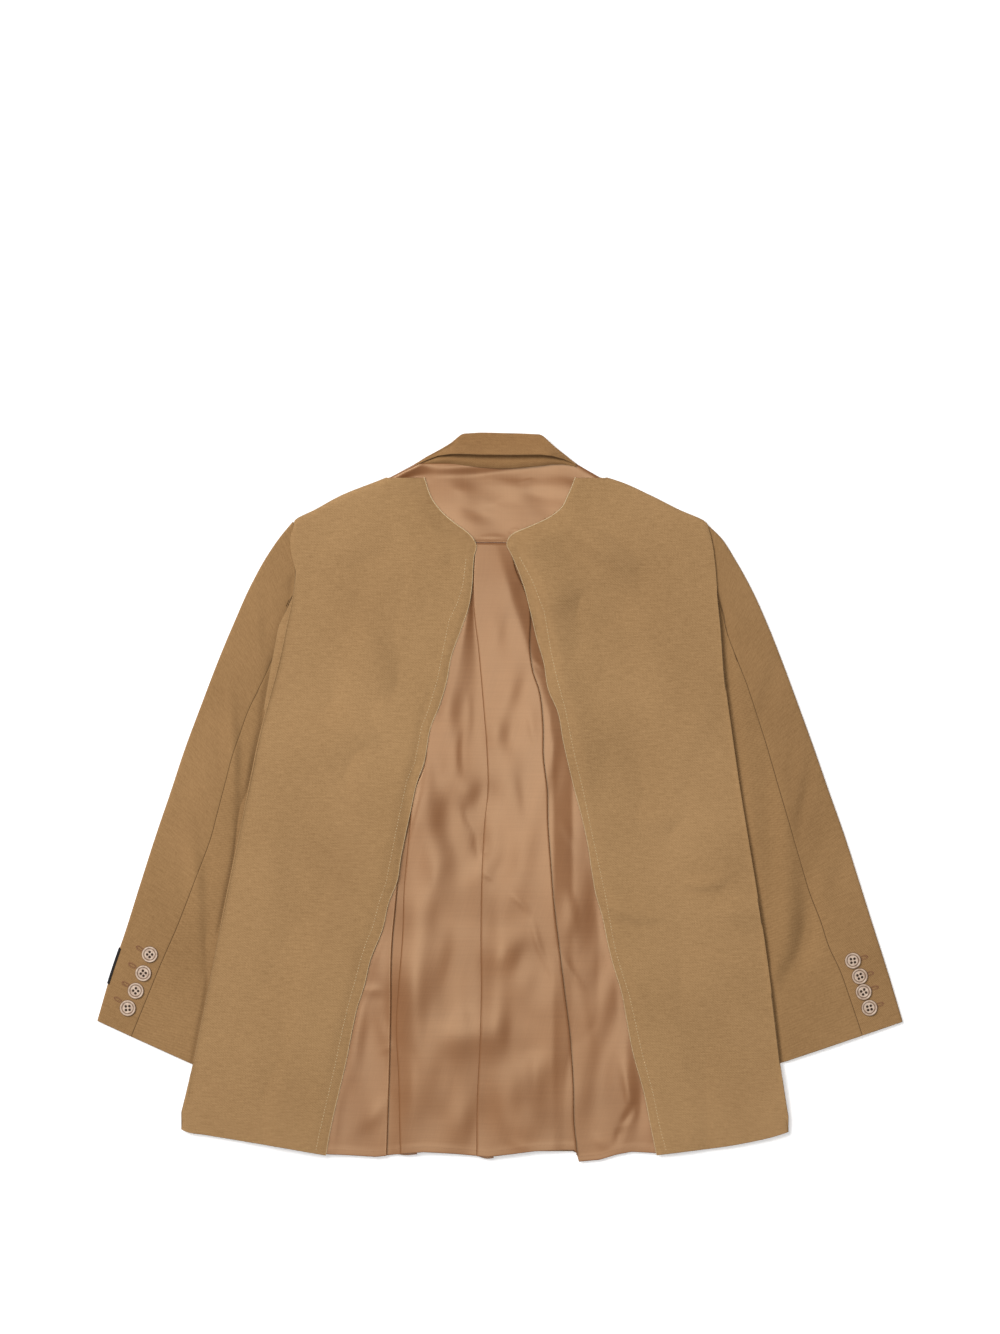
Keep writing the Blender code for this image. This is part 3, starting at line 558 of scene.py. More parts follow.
body = {
    "left": {
        "raw": [
            (-83.6, 352.6), (-72.6, 325.1), (-59.4, 309.7), (-48.4, 300.9), (-36.3, 292.1), (-26.4, 278.9),
            (-28.6, 264), (-30.8, 231.6), (-34.1, 210.7), (-41.8, 187.6), (-53.9, 153.5), (-58.3, 129.2),
            (-67.1, 99.6), (-75.4, 79.8), (-83.6, 38), (-91.3, 16), (-97.9, -13.8), (-103.4, -39.1),
            (-108.9, -66.6), (-113.3, -93), (-122.1, -115), (-128.7, -143.6), (-142.5, -178.8),
            (-149.6, -208.5), (-156.8, -230.5), (-161.7, -252.5), (-170.5, -296.5), (-178.2, -328.4),
            (-188.1, -373.5), (-191.5, -394.5),
        ],
        "side": [
            (-119.9, 353.7), (-130.9, 349.2), (-172.7, 332.8), (-203.5, 316.2), (-225.5, 304.6),
            (-226.8, 298), (-230.2, 286.6), (-229.4, 268), (-225.4, 249), (-226.6, 232),
            (-235.4, 185.4), (-245.5, 139.2), (-254.3, 107), (-264, 70), (-273.6, 24),
            (-283.6, -24), (-292.6, -68), (-300.4, -106), (-309.6, -152), (-318.6, -198), (-337, -290),
            (-350.6, -367),
        ],
        "hem": [
            (-351.2, -364.9), (-347.1, -366.9), (-323.4, -371.3), (-269.5, -380.1), (-229.9, -386.7),
            (-191.5, -393.6),
        ],
    },
    "right": {
        "raw": [
            (82.5, 351.6), (74.8, 332.8), (64.9, 316.2), (50.6, 306.4), (28.6, 296.5), (17.6, 292.1),
            (7.7, 281.4), (13.2, 265.7), (20.9, 247), (25.9, 232.7), (33.6, 203), (40.7, 173.2),
            (47.3, 151.2), (53.9, 116.1), (62.7, 96.3), (69.3, 62.2), (80.3, 14.9), (90.2, -22.6),
            (96.8, -53.4), (101.2, -83.1), (105.6, -107.3), (112.2, -129.2), (118.8, -161.2),
            (124.3, -183.2), (134.2, -216.2), (138.6, -240.4), (146.3, -281.1), (158.4, -325.1),
            (166.1, -363.6), (172.4, -394.5),
        ],
        "side": [
            (110, 353.7), (125.4, 349.2), (163.9, 332.8), (196.9, 316.2), (226.2, 302.7), (230, 293),
            (233.6, 279), (236.6, 258), (239.5, 222), (242.8, 190), (247.2, 131), (255.6, 67), (264.2, 8),
            (271.4, -36), (280.4, -90), (290.2, -154), (299.6, -222.5), (308.4, -296), (317.3, -371),
        ],
        "hem": [(172.2, -393.8), (202.4, -390), (261.8, -381.8), (307.6, -371.3), (317.6, -368)],
    },
    "top": 351.6,
    "foot": -394,
    "fanFrom": -290,  # below this the rows turn to meet the hem
    "rowStep": 0.0026,
    "columns": 92,
    # more columns beside the raw edge and the side edge: how far in, and the width they are shares of
    "nearRaw": [0.0008, 0.002, 0.0036],
    "nearSide": [0.0005, 0.0011, 0.0018, 0.0027, 0.0038, 0.0052],
    "width": 0.22,
    "armholeFoot": 222,
    "rollWidth": 0.0065,
    # how far the side edge stands off the sleeve: y and height
    "overhang": {
        "left": [(250, 0), (232, 1.2), (200, 2.4), (150, 2.8), (90, 2.4), (-330, 2.2), (-366, 1.0)],
        "right": [(236, 0), (205, 1.4), (150, 2.4), (90, 2.6), (-330, 2.2), (-366, 1.0)],
    },
    "drapeWidth": 0.022,  # how wide the strip is that settles on the lining, and up to what y
    "drapeTop": 0.35,
    "edgeTaper": 0.30,  # the raw edge is this thin, as a share of the wall
    "taperWidth": 0.006,
    "folds": {
        "left": [
            (-160, 250, -190, 150, 34, 0.9), (-200, 60, -215, -80, 34, 0.8), (-150, 20, -170, -80, 26, -0.7),
            (-250, -120, -280, -260, 26, -0.6), (-205, -180, -230, -320, 30, 0.7),
            (-100, 240, -90, 160, 22, 0.5),
            (-215, 275, -212, 215, 9, -0.5), (-190, 330, -150, 320, 10, -0.4),
        ],
        "right": [
            (140, 130, 150, 20, 34, 0.8), (200, 260, 210, 160, 24, 0.7), (180, -40, 205, -180, 32, -0.6),
            (240, -90, 268, -240, 26, 0.7), (170, -230, 190, -340, 26, 0.6), (225, 40, 245, -60, 20, -0.7),
            (216, 275, 222, 215, 9, -0.5), (120, -60, 135, -130, 18, 0.4),
        ],
    },
    "leans": {
        "left": [
            (-118, 122, 17, 48, 32, 0.29), (-96, 84, 12, 34, 30, 0.18), (-170, 41, 22, 34, 70, 0.17),
            (-183, 98, 11, 44, 50, -0.17), (-54, 252, 11, 24, 34, 0.21), (-140, -55, 20, 40, 20, 0.10),
            (-235, -110, 16, 60, 12, 0.09), (-215, -250, 22, 50, 10, -0.08), (-260, -300, 18, 40, 12, 0.08),
            (-150, 290, 16, 30, 70, 0.09),
        ],
        "right": [
            (150, 250, 12, 58, 57, 0.26), (84, 217, 15, 30, 88, 0.26), (71, 173, 18, 32, 20, 0.13),
            (187, -33, 11, 22, 70, 0.20), (248, -95, 6, 26, 96, 0.29), (187, -140, 9, 50, 74, 0.18),
            (238, -117, 9, 34, 76, -0.16), (130, 60, 22, 46, -10, 0.09), (225, 60, 14, 40, -6, 0.10),
            (220, -250, 18, 50, -14, 0.08), (165, -300, 16, 40, -14, -0.08),
        ],
    },
}

sidePanels = {
    "width": [(222, 12), (110, 60), (-393, 70)],
    "sliver": [(222, 0.5), (188, 9), (142, 8), (97, 3), (78, -9)],  # what shows at the left armpit
    "inset": 0.009,
    "rows": 130,
    "columns": 20,
}

fronts = {
    "roll": [(364, 92), (6, -22)],  # y, and how far out the lapel folds
    "top": 363,
    "foot": -393,
    "shoulder": [(363, 83), (353, 100), (346, 114)],  # y, and how far out it may reach
    "edgeRoom": 0.003,
    "hemInset": 0.004,
    "rows": 150,
    "columns": 46,
}


def sideX(side, y):
    points = traced(body[side]["side"])
    return through(points[:, 1], points[:, 0], y)


def rawX(side, y):
    points = traced(body[side]["raw"])
    return through(points[:, 1], points[:, 0], y)


def hemY(side, x):
    points = traced(body[side]["hem"])
    return through(points[:, 0], points[:, 1], x)


# Sleeves: each a flattened tube, cut at the seam down its back and at the one on its underside

sleeves = {
    "sections": 190,
    "overSeam": 34,
    "underSeam": 46,
    "frontSeam": 0.86,
    "mostSeam": 0.9,
    "seamGap": 0.00006,
    "seamDepth": 0.00032,
    "seamWidth": 0.0013,
    "upperFrom": 0.0032,  # what lies above this is the upper layer
    "shaped": (0.0022, 0.0018),  # folds act from this height up, in full after this much more
    "troughFade": 0.02,
    "leanWay": (0.97, -0.24),
    "armholeBow": {"left": 0.0066, "right": -0.0012},  # how far the sleeve head reaches in under the body
    "bowFade": 0.045,
    "overLower": 18,
    "underLower": 6,
    # a trough beside the body's edge: y, depth and width, and how far outside the edge its bottom lies
    "troughOut": {
        "left": [(252, 0), (222, 1), (188, 7), (142, 7), (97, 2.5), (80, -0.5), (-366, -1)],
        "right": [(230, 2.2), (-366, 1.8)],
    },
    "besideBody": {
        "left": [(252, 0, 3), (236, 0.9, 4), (215, 0.5, 5), (185, 1.4, 5.2), (150, 2.4, 5.2), (60, 3.0, 4.6),
                 (-100, 3.0, 4),
                 (-300, 2.8, 4), (-366, 2.4, 4)],
        "right": [
            (230, 1.0, 4), (205, 3.0, 7), (120, 3.2, 8), (50, 3.0, 6.5), (0, 2.6, 5), (-200, 2.4, 4),
            (-366, 2.2, 4),
        ],
    },
    # outer x y, inner x y, loft at the folded edges, bulge halfway across
    "left": [
        (-227.5, 304, -224.5, 219, 4.6, 0), (-241, 288, -226.5, 206, 4.2, 0.8),
        (-255, 268, -228, 189, 3.7, 1.5), (-273, 236, -230, 157, 3.4, 2.0),
        (-292, 194, -240, 110, 3.4, 2.3), (-310, 151, -252, 63, 3.4, 2.4),
        (-328, 104, -262, 18, 3.4, 2.4), (-346, 56, -269, -28, 3.4, 2.4),
        (-363, 5, -278, -76, 3.4, 2.4), (-380, -45, -290, -122, 3.4, 2.3),
        (-396, -95, -301, -166, 3.4, 2.1), (-412, -146, -309, -212, 3.4, 1.9),
        (-429, -196, -318, -256, 3.4, 1.6), (-443.5, -246, -327, -299, 3.4, 1.3),
    ],
    "right": [
        (227.4, 301, 239.5, 218, 4.6, 0), (243, 286, 241.5, 208, 4.2, 0.8),
        (258, 263, 241.5, 192, 3.7, 1.5), (276, 231, 238, 158, 3.4, 2.0),
        (295, 189, 239, 112, 3.4, 2.3), (312, 146, 244, 66, 3.4, 2.4),
        (329, 100, 249, 20, 3.4, 2.4), (345, 56, 253, -22, 3.4, 2.4),
        (362, 7, 260, -67, 3.4, 2.4), (379, -41, 269, -110, 3.4, 2.3),
        (395, -91, 277, -152, 3.4, 2.1), (411, -142, 283, -198, 3.4, 1.9),
        (427, -192, 289, -245, 3.4, 1.6), (443.5, -247, 296, -297, 3.4, 1.3),
    ],
    "leftSeam": [
        (-229.3, 229), (-246, 165), (-258, 135), (-278, 94), (-294, 47), (-306, 2),
        (-318, -45), (-338, -98), (-355, -142), (-372, -180), (-391, -227), (-408, -268),
    ],
    "rightSeam": [
        (237.5, 230), (245, 203), (252, 175), (272, 124), (293, 59), (309, 3),
        (330, -69), (341, -106), (354, -138), (361, -163), (375, -191), (399, -262),
    ],
    "folds": [
        # left
        (-279, 70, -283, 0, 6, 0.7), (-227, 246, -232, 226, 3.5, -1.3), (-300, 120, -322, 20, 16, 0.8),
        (-352, -60, -378, -140, 16, 0.8), (-330, 60, -352, -30, 12, -0.8), (-388, -90, -402, -150, 11, -0.7),
        (-345, -150, -352, -230, 16, -0.6), (-300, -60, -322, -150, 9, 0.8), (-262, 236, -282, 196, 14, -0.8),
        (-300, -200, -316, -262, 8, 0.6),
        # right
        (309, 75, 322, -60, 15, 0.6), (308, -90, 308, -170, 9, 0.9), (352, 10, 374, -110, 17, -0.9),
        (380, -120, 398, -190, 15, 0.8), (262, 25, 280, -70, 10, 0.8), (340, -225, 352, -275, 14, 0.5),
        (258, 190, 268, 130, 8, -0.7), (300, 190, 330, 110, 14, -0.7),
    ],
    "leans": [
        (-289, 5, 5.5, 56, 4, 0.46), (-327, -128, 6.5, 52, 8, 0.38), (-262, 190, 6, 26, 12, 0.2),
        (-345, -20, 12, 40, 18, 0.10), (-378, -110, 9, 30, 16, 0.10),
        (320, -40, 9, 44, 8, 0.20), (330, -96, 11, 34, 2, 0.30), (328, -146, 12, 30, -12, 0.36),
        (310, -190, 10, 24, -36, 0.34), (331, 4, 6, 30, -8, 0.26), (306, -80, 9, 60, 6, -0.16),
        (290, 120, 9, 34, -18, 0.12), (365, -90, 9, 34, -16, 0.10),
    ],
}


def sleeveTable(side):
    table = np.array(sleeves[side], float)
    for column in (1, 3):
        table[:, column] += cloth["shiftY"] * 1000
    centre = (table[:, 0:2] + table[:, 2:4]) / 2
    run = np.concatenate([[0], np.cumsum(np.hypot(*np.diff(centre, axis=0).T))])
    at = spread(sleeves["sections"], 0, run[-1], 2, 0.8)
    smooth = np.column_stack([through(run, table[:, column], at) for column in range(6)]) * 0.001
    bow = sleeves["armholeBow"][side] * (1 - easing(at * 0.001 / sleeves["bowFade"]))
    return np.column_stack([smooth, bow])


def sleeveLayer(row, shares, lower):
    outer = row[0:2]
    inner = row[2:4]
    plan = outer + (inner - outer) * np.asarray(shares)[:, None]
    plan[:, 0] += row[6] * np.sin(np.pi * np.clip(shares, 0, 1))
    floor = cloth["wool"] / 2
    if lower:
        return np.column_stack([plan, np.full(len(plan), floor)])
    loft = row[4] + row[5] * np.sin(np.pi * np.clip(shares, 0, 1))
    return np.column_stack([plan, floor + loft])


def sleeveRoll(row, atOuter):
    outer = row[0:2]
    inner = row[2:4]
    width = np.hypot(*(inner - outer))
    across = (inner - outer) / width
    radius = row[4] / 2
    start = outer if atOuter else inner
    way = across if atOuter else -across
    points = []
    for turn in np.radians(np.linspace(90, -90, 9)):
        plan = start + way * (cloth["wool"] / 2 + radius - radius * math.cos(turn))
        points.append([*plan, cloth["wool"] / 2 + radius + radius * math.sin(turn)])
    return np.array(points), (cloth["wool"] / 2 + radius) / width


def seamShares(rows, seam):
    shares = np.linspace(0.1, sleeves["mostSeam"], 300)
    found = []
    for row in rows:
        plan = row[0:2] + (row[2:4] - row[0:2]) * shares[:, None]
        found.append(shares[awayFrom(plan[:, 0], plan[:, 1], seam).argmin()])
    found = np.array(found)
    padded = np.pad(found, 4, mode="edge")
    return np.convolve(padded, np.ones(9) / 9, mode="valid")


def shapeSleeve(grid, seam, side):
    x, rows, flat = [grid[..., column].copy() for column in range(3)]
    fold = creased(x, rows, sleeves["folds"]) + leaning(x, rows, sleeves["leans"], sleeves["leanWay"])
    trough = np.array(sleeves["besideBody"][side], float) * 0.001
    trough[:, 0] += cloth["shiftY"]
    y = np.linspace(trough[0, 0], trough[-1, 0], 120)
    depth, width = [through(trough[:, 0], trough[:, column], rows) for column in (1, 2)]
    out = outward[side] * tabled(sleeves["troughOut"][side], rows)
    away = awayFrom(x - out, rows, np.column_stack([sideX(side, y), y]))
    fold = fold - depth * easing((y[0] - rows) / sleeves["troughFade"]) * np.exp(-((away / width) ** 2))
    groove = sleeves["seamDepth"] * np.exp(-((awayFrom(x, rows, seam) / sleeves["seamWidth"]) ** 2))
    start, over = sleeves["shaped"]
    raised = flat + (fold - groove) * easing((flat - start) / over)
    least = cloth["wool"] * 1.5 + cloth["gap"]
    grid[..., 2] = np.where(flat > sleeves["upperFrom"], np.maximum(raised, least), flat)
    return grid


def makeSleeve(side):
    seam = traced(sleeves[side + "Seam"])
    over = []
    under = []
    rows = sleeveTable(side)
    for row, share in zip(rows, seamShares(rows, seam)):
        width = np.hypot(*(row[2:4] - row[0:2]))
        close = 0.0008 / width
        roll, edge = sleeveRoll(row, True)
        upper = sleeveLayer(row, spread(sleeves["overSeam"], share, edge, 1, close)[:-1], False)
        lower = sleeveLayer(row, np.linspace(edge, sleeves["frontSeam"], sleeves["overLower"])[1:], True)
        over.append(np.vstack([upper, roll, lower]))
        roll, edge = sleeveRoll(row, False)
        gap = sleeves["seamGap"] / width
        upper = sleeveLayer(row, spread(sleeves["underSeam"], share + gap, 1 - edge, 1, close)[:-1], False)
        lower = np.linspace(1 - edge, sleeves["frontSeam"] + gap, sleeves["underLower"])[1:]
        under.append(np.vstack([upper, roll, sleeveLayer(row, lower, True)]))
    made = []
    for part, sections in (("top", over), ("under", under)):
        grid = shapeSleeve(np.array(sections), seam, side)
        piece = sew(f"{part}Sleeve_{side}", grid, cloth["wool"], shadedSleeveWool, grain=developed(grid))
        made.append((piece, cutOf(grid)))
    return made


sleevePieces = {side: makeSleeve(side) for side in ("left", "right")}
print("sleeves sewn")


def ruled(first, last, y, shares):
    # a plan grid in rows, each from one x to the other
    x = first[:, None] + (last - first)[:, None] * shares
    return np.dstack([x, np.broadcast_to(y[:, None], x.shape)])


def rollX(side, y):
    return outward[side] * tabled(fronts["roll"], y)


def fanned(plan, side, inset=0.0):
    # rows near the hem turn to follow it
    fanFrom = onPlan(body["fanFrom"])
    lowest = plan[-1, :, 1].min()
    share = np.clip((fanFrom - plan[..., 1]) / (fanFrom - lowest), 0, 1)
    hem = hemY(side, plan[..., 0]) + inset
    plan[..., 1] = np.where(share > 0, fanFrom + (hem - fanFrom) * share, plan[..., 1])
    return plan


def layUnder(name, node, plan):
    # wool in the place of its own solid, and nowhere below the floor
    z = heightAt(solidTop(node), plan[..., 0], plan[..., 1]) - cloth["wool"] / 2
    grid = np.dstack([plan, np.maximum(z, cloth["wool"] / 2)])
    piece = sew(name, grid, cloth["wool"], bodyWool)
    declare(node)


def makeFront(side):
    y = np.linspace(onPlan(fronts["top"]), onPlan(fronts["foot"]), fronts["rows"])
    panel = tabled(sidePanels["width"], y) + cloth["gap"]
    room = np.where(y <= onPlan(body["armholeFoot"]), panel, fronts["edgeRoom"])
    outer = sideX(side, y) - outward[side] * room
    most = np.minimum(tabled(fronts["shoulder"], y), np.abs(outer))
    outer = np.where(y > onPlan(fronts["shoulder"][-1][0]), outward[side] * most, outer)
    plan = ruled(rollX(side, y), outer, y, spread(fronts["columns"], 0, 1, 3, 0.004))
    layUnder(f"front_{side}_cloth", f"front_{side}", fanned(plan, side, fronts["hemInset"]))


def makeSidePanel(side):
    y = np.linspace(onPlan(body["armholeFoot"]), onPlan(fronts["foot"]), sidePanels["rows"])
    edge = sideX(side, y)
    width = tabled(sidePanels["width"], y)
    outer = edge - outward[side] * np.minimum(sidePanels["inset"], 0.5 * width)
    if side == "left":
        outer = edge + outward[side] * tabled(sidePanels["sliver"], y)
    plan = ruled(edge - outward[side] * width, outer, y, spread(sidePanels["columns"], 0, 1, 3, 0.02))
    plan = fanned(plan, side, fronts["hemInset"])
    layUnder(f"sidePanel_{side}", f"side_panel_{side}", plan)


# the turned parts of each front: y and width, and how many rows each takes
turnedParts = {
    "lapel": {
        "name": "lapel",
        "widths": [(299, 34), (286, 82), (262, 98), (220, 88), (170, 72), (120, 55), (70, 36), (20, 10)],
        "rows": 90,
    },
    "collar_leaf": {"name": "collarLeaf", "widths": [(352, 24), (340, 40), (322, 46), (302, 44)], "rows": 24},
}


def makeTurned(kind, side):
    part = turnedParts[kind]
    y = np.linspace(onPlan(part["widths"][0][0]), onPlan(part["widths"][-1][0]), part["rows"])
    inner = rollX(side, y)
    plan = ruled(inner, inner + outward[side] * tabled(part["widths"], y), y, spread(24, 0, 1, 3, 0.015))
    layUnder(f"{part['name']}_{side}_cloth", f"{kind}_{side}", plan)


for side in ("left", "right"):
    makeTurned("lapel", side)
    makeTurned("collar_leaf", side)
    makeFront(side)
    makeSidePanel(side)
print("fronts, lapels and side panels sewn")


# Lining

yoke = {
    "rows": [
        (367, -93, 84), (360, -106, 96), (352, -121, 110), (344, -143, 136), (334, -160, 152),
        (280.3, -160, 152),
    ],
    "top": 367.5,
    "foot": 280.3,
    "count": 64,
    "columns": 170,
    "footWidth": 0.004,  # the strip at the foot that stands up off the pleated panel
    "footRise": 0.0008,
    "lowest": 0.0030,
    "rollFrom": 330,
    "roll": 0.0055,  # how far in from the shoulder the satin starts to turn down
    "folds": [
        (22, 346, 38, 351, 1.6, 0.35), (20, 355, 50, 358.5, 2.0, 0.35), (-58, 346, -30, 330, 9, 0.35),
        (-24, 285.5, 9, 285, 2.2, 0.45), (10, 292, 19, 296, 1.8, -0.6), (-70, 332, -20, 296, 10, 0.35),
        (18, 322, 52, 306, 9, 0.25),
    ],
    "leans": [
        (-41, 336, 5, 12, 78, 0.06), (0, 308, 14, 34, 70, 0.04), (40, 322, 8, 30, 62, 0.04),
        (-5, 361.5, 7, 76, 90, 0.30),
        (-30, 322, 9, 26, 60, 0.08), (30, 338, 6, 30, 78, 0.07), (-10, 296, 8, 28, 80, 0.05),
    ],
    "leanWay": (0.2, -0.98),
    # the two corners beside the collar fall away from the shoulder line
    "corners": [
        ((-105, 355.5, 9, 26, -65, 0.42), (0.42, -0.91)), ((97, 355.5, 8, 22, 62, 0.36), (-0.5, -0.87)),
    ],
}


def makeYoke():
    y = np.linspace(onPlan(yoke["top"]), onPlan(yoke["foot"]), yoke["count"])
    edges = [tabled(yoke["rows"], y, column) for column in (1, 2)]
    plan = ruled(*edges, y, spread(yoke["columns"], 0, 1, 3, 0.004))
    x, rows = plan[..., 0], plan[..., 1]
    z = heightAt(solidTop("lining_yoke", 0.006), x, rows) - cloth["satin"] / 2
    soft = creased(x, rows, yoke["folds"]) + leaning(x, rows, yoke["leans"], yoke["leanWay"])
    for patch, way in yoke["corners"]:
        soft = soft + leaning(x, rows, [patch], way)
    atFoot = 1 - easing((rows - onPlan(yoke["foot"])) / yoke["footWidth"])
    z = z + lining["lift"] + bounded(soft) + yoke["footRise"] * atFoot
    upper = y > onPlan(yoke["rollFrom"])
    away = np.minimum(*[awayFrom(x, rows, np.column_stack([edge, y])[upper]) for edge in edges])
    grid = np.dstack([plan, rolledDown(z, yoke["lowest"], away, yoke["roll"])])
    piece = sew("liningYoke", grid, cloth["satin"], liningSatin)
    declare("lining_yoke")


lining = {
    "top": 280,
    "foot": -395.5,
    "fanFrom": -330,
    "rows": 205,
    "lift": 0.0016,  # room for the soft folds over the fronts
    "mostTrough": 0.0016,
    "bridge": (0.042, 0.070),  # how far it spans the lower ground between the fronts, across and along
    # where the under layers are drawn up at the hem: x and half width, and by how much
    "tucks": [(-0.098, 0.012), (-0.012, 0.010)],
    "tuckBy": 0.0021,
    "clearRaw": (0.004, 0.012),  # the soft folds fade out this far in under the raw edges
    "edges": [
        (280, -82, 62), (250, -84, 66), (206, -93, 74), (158, -105, 86), (108, -118, 98), (56, -132, 112),
        (3, -146, 125), (-57, -158, 137), (-117, -172, 150), (-178, -190, 164), (-240, -208, 178),
        (-300, -222, 190), (-350, -233, 200), (-396, -242, 206),
    ],
    # the four folded edges down the panel, as x and y
    "valleyLeft": [
        (-61, 280), (-64, 250), (-71, 206), (-81, 158), (-94, 108), (-103, 56), (-110, 3), (-112.5, -57),
        (-113.3, -95), (-116.1, -127), (-118.8, -157), (-119.9, -178), (-120.6, -229), (-122, -300),
        (-125, -396),
    ],
    "valleyRight": [
        (-48, 280), (-51, 250), (-55, 206), (-65, 158), (-74, 108), (-80, 56), (-82.5, 35.8), (-95.7, 2.8),
        (-98.3, -25.9), (-101.6, -60), (-105.1, -98.5), (-106.9, -150), (-111.3, -207.4), (-113.9, -251.4),
        (-111.3, -308.6), (-110.4, -359.2), (-109.6, -396),
    ],
    "boxLeft": [
        (-26.4, 280), (-28.4, 250), (-28.6, 212.9), (-23.1, 160.1), (-18, 101.8), (-14.7, 58.9), (-13.9, -2.8),
        (-15.8, -18.2), (-19.1, -68.8), (-20.9, -156.8), (-20.5, -207.4), (-22, -274.5), (-24.6, -325.1),
        (-25.5, -396),
    ],
    "boxRight": [
        (12, 280), (15.5, 255), (30.8, 216.2), (32.5, 160.1), (36, 138), (42.6, 118.3), (46.8, 84.2),
        (47.6, 42.4), (51.7, 8.2), (52.4, -25.9), (55.8, -76.5), (58.3, -110.6), (63.8, -156.8), (70.4, -211.8),
        (77, -266.8), (80.3, -316.2), (81.4, -366.9), (84.7, -396),
    ],
    "hem": [
        (-242, -383), (-191, -392.5), (-171.6, -393.3), (-136.4, -395.5), (-118.8, -393.3), (-110, -392.2),
        (-83.6, -390), (-48.4, -392.2), (-26.4, -394.4), (-13.2, -395.5), (4.4, -393.3), (39.6, -388.9),
        (74.8, -387.8), (83.2, -388), (86.5, -401), (92.4, -400.4), (110, -398.8), (127.6, -393.3),
        (145.2, -390), (165, -391.1), (180.4, -392), (206, -386),
    ],
    "underlay": 0.008,
    "wideUnderlay": 0.018,
    "rise": 0.00145,
    "floor": 0.0026,
    "hemDepth": 0.0065,
    "hemRise": 0.0002,
    "leanWay": (0.98, -0.2),
    "leanSize": (1.55, 0.92),
    "leanShare": 0.66,
    "foldShare": 0.7,
    "folds": [
        # left of the valley
        (-152, -212, -130, -212, 5, 0.7), (-165, -374, -124, -334, 9, 1.2), (-131, -283, -118, -270, 2.6, 0.8),
        (-134, -240, -126, -285, 6, 0.6), (-183, -350, -186, -388, 6, 0.6), (-140, -250, -150, -300, 8, -0.5),
        # between the valley and the centre pleat
        (-35, 116, -38, 60, 5, 0.8), (-39.5, 78, -40, 22, 3.2, -0.8), (-80, 40, -86, -10, 9, 0.9),
        (-41, -10, -27, -40, 2.6, -0.9), (-27, -38, -22, -68, 2.6, -0.8), (-48, 0, -47, -50, 6, 1.0),
        (-40, -170, -40, -250, 7, 1.2), (-99, -285, -97, -355, 7, 0.9), (-33, 240, -33, 190, 3, 0.6),
        (-68, -70, -72, -100, 7, 0.6), (-60, -290, -64, -345, 8, 0.7),
        # on the box pleat
        (16, 243, 24, 240, 2.0, 0.6), (-20, -81, -3, -92, 2.4, 0.7), (10, -105, 34, -127, 3.0, 0.8),
        (34, -126, 58, -196, 3.4, 0.9), (14, 20, 18, -30, 9, 0.7), (0, -305, 8, -370, 12, 0.8),
        (34, 100, 38, 60, 5, 0.6), (34, -280, 36, -350, 7, 0.7), (10, -378, 30, -384, 5, 0.4),
        # right of the box pleat
        (38, 151, 49, 142.5, 2.4, 1.2), (60, 75, 62, 31, 5, 0.2), (68, -24, 84, -54, 5, 0.35),
        (76, -105, 78, -150, 6, 1.0), (64, -167, 92, -213, 3.6, 0.9), (136, -288, 147, -352, 5, 1.8),
        (147, -334, 134, -362, 2.6, -1.6), (134, -362, 129, -382, 2.6, -1.2), (88, -220, 98, -300, 9, 0.8),
        (158, -330, 166, -382, 5, 0.7), (104, -372, 116, -386, 4, 0.5),
    ],
    "leans": [
        (-128, -200, 6, 46, 2, 0.16), (-142, -217, 5, 12, 80, 0.10), (-134, -352, 8, 26, -38, 0.20),
        (-152, -300, 8, 26, 10, 0.10), (-121, -268, 5, 12, 20, 0.12),
        (-50, 96, 7, 22, 4, 0.20), (-42, 50, 5, 26, 0, 0.10), (-27, 4, 8, 16, 0, 0.28),
        (-70, -22, 13, 28, 4, 0.26),
        (-30, -46, 6, 20, 12, 0.20), (-76, -125, 13, 24, 0, 0.18), (-74, -205, 20, 42, 2, 0.24),
        (-58, -188, 5, 44, -4, 0.12), (-88, -232, 6, 38, 6, 0.14), (-34, -261, 10, 24, 0, 0.20),
        (-33, -358, 8, 22, 0, 0.22), (-90, -350, 9, 26, 12, 0.12), (-60, 30, 8, 18, 6, -0.10),
        (2, 180, 6, 19, 2, 0.14), (18, 117, 6, 22, -22, 0.20), (4, 70, 7, 17, 0, 0.26),
        (-10, -80, 10, 12, 40, 0.12),
        (14, -175, 10, 18, 0, 0.28), (6, -228, 9, 36, 4, 0.20), (8, -262, 17, 22, 0, 0.26),
        (40, -190, 7, 30, -14, 0.14),
        (-8, -140, 6, 30, 0, -0.10), (54, -300, 8, 34, 0, 0.14), (38, -365, 10, 18, 10, 0.14),
        (20, 230, 6, 16, -12, 0.10),
        (44, 170, 3, 30, -10, 0.10), (57, 24, 4, 22, -8, 0.16), (98, -40, 6, 30, -20, 0.06),
        (98, -127, 13, 34, -14, 0.12), (112, -180, 6, 22, -14, 0.10), (124, -225, 8, 38, -12, 0.17),
        (97, -333, 9, 28, -6, 0.12), (154, -325, 6, 34, -12, 0.22), (120, -300, 8, 30, -10, -0.12),
        (70, -260, 8, 40, -8, -0.10),
        (18, 10, 9, 40, 6, 0.08), (34, -60, 8, 36, -8, 0.09), (0, -40, 7, 34, 10, 0.08),
        (34, 20, 6, 44, -4, -0.07),
        (16, -120, 10, 26, -30, 0.07), (-55, -70, 8, 34, 8, 0.10), (-95, -60, 6, 40, 4, 0.12),
        (20, -340, 8, 30, 6, 0.12),
        (-70, -300, 8, 30, -6, 0.12), (-178, -338, 13, 50, 16, 0.30), (-150, -252, 9, 44, 12, 0.30),
        (150, -300, 10, 44, -12, 0.12), (30, -180, 9, 40, 0, 0.10),
    ],
}


def bounded(fold):
    # troughs stay shallower than the room beneath them
    most = lining["mostTrough"]
    return np.where(fold < 0, -most * np.tanh(-fold / most), fold)


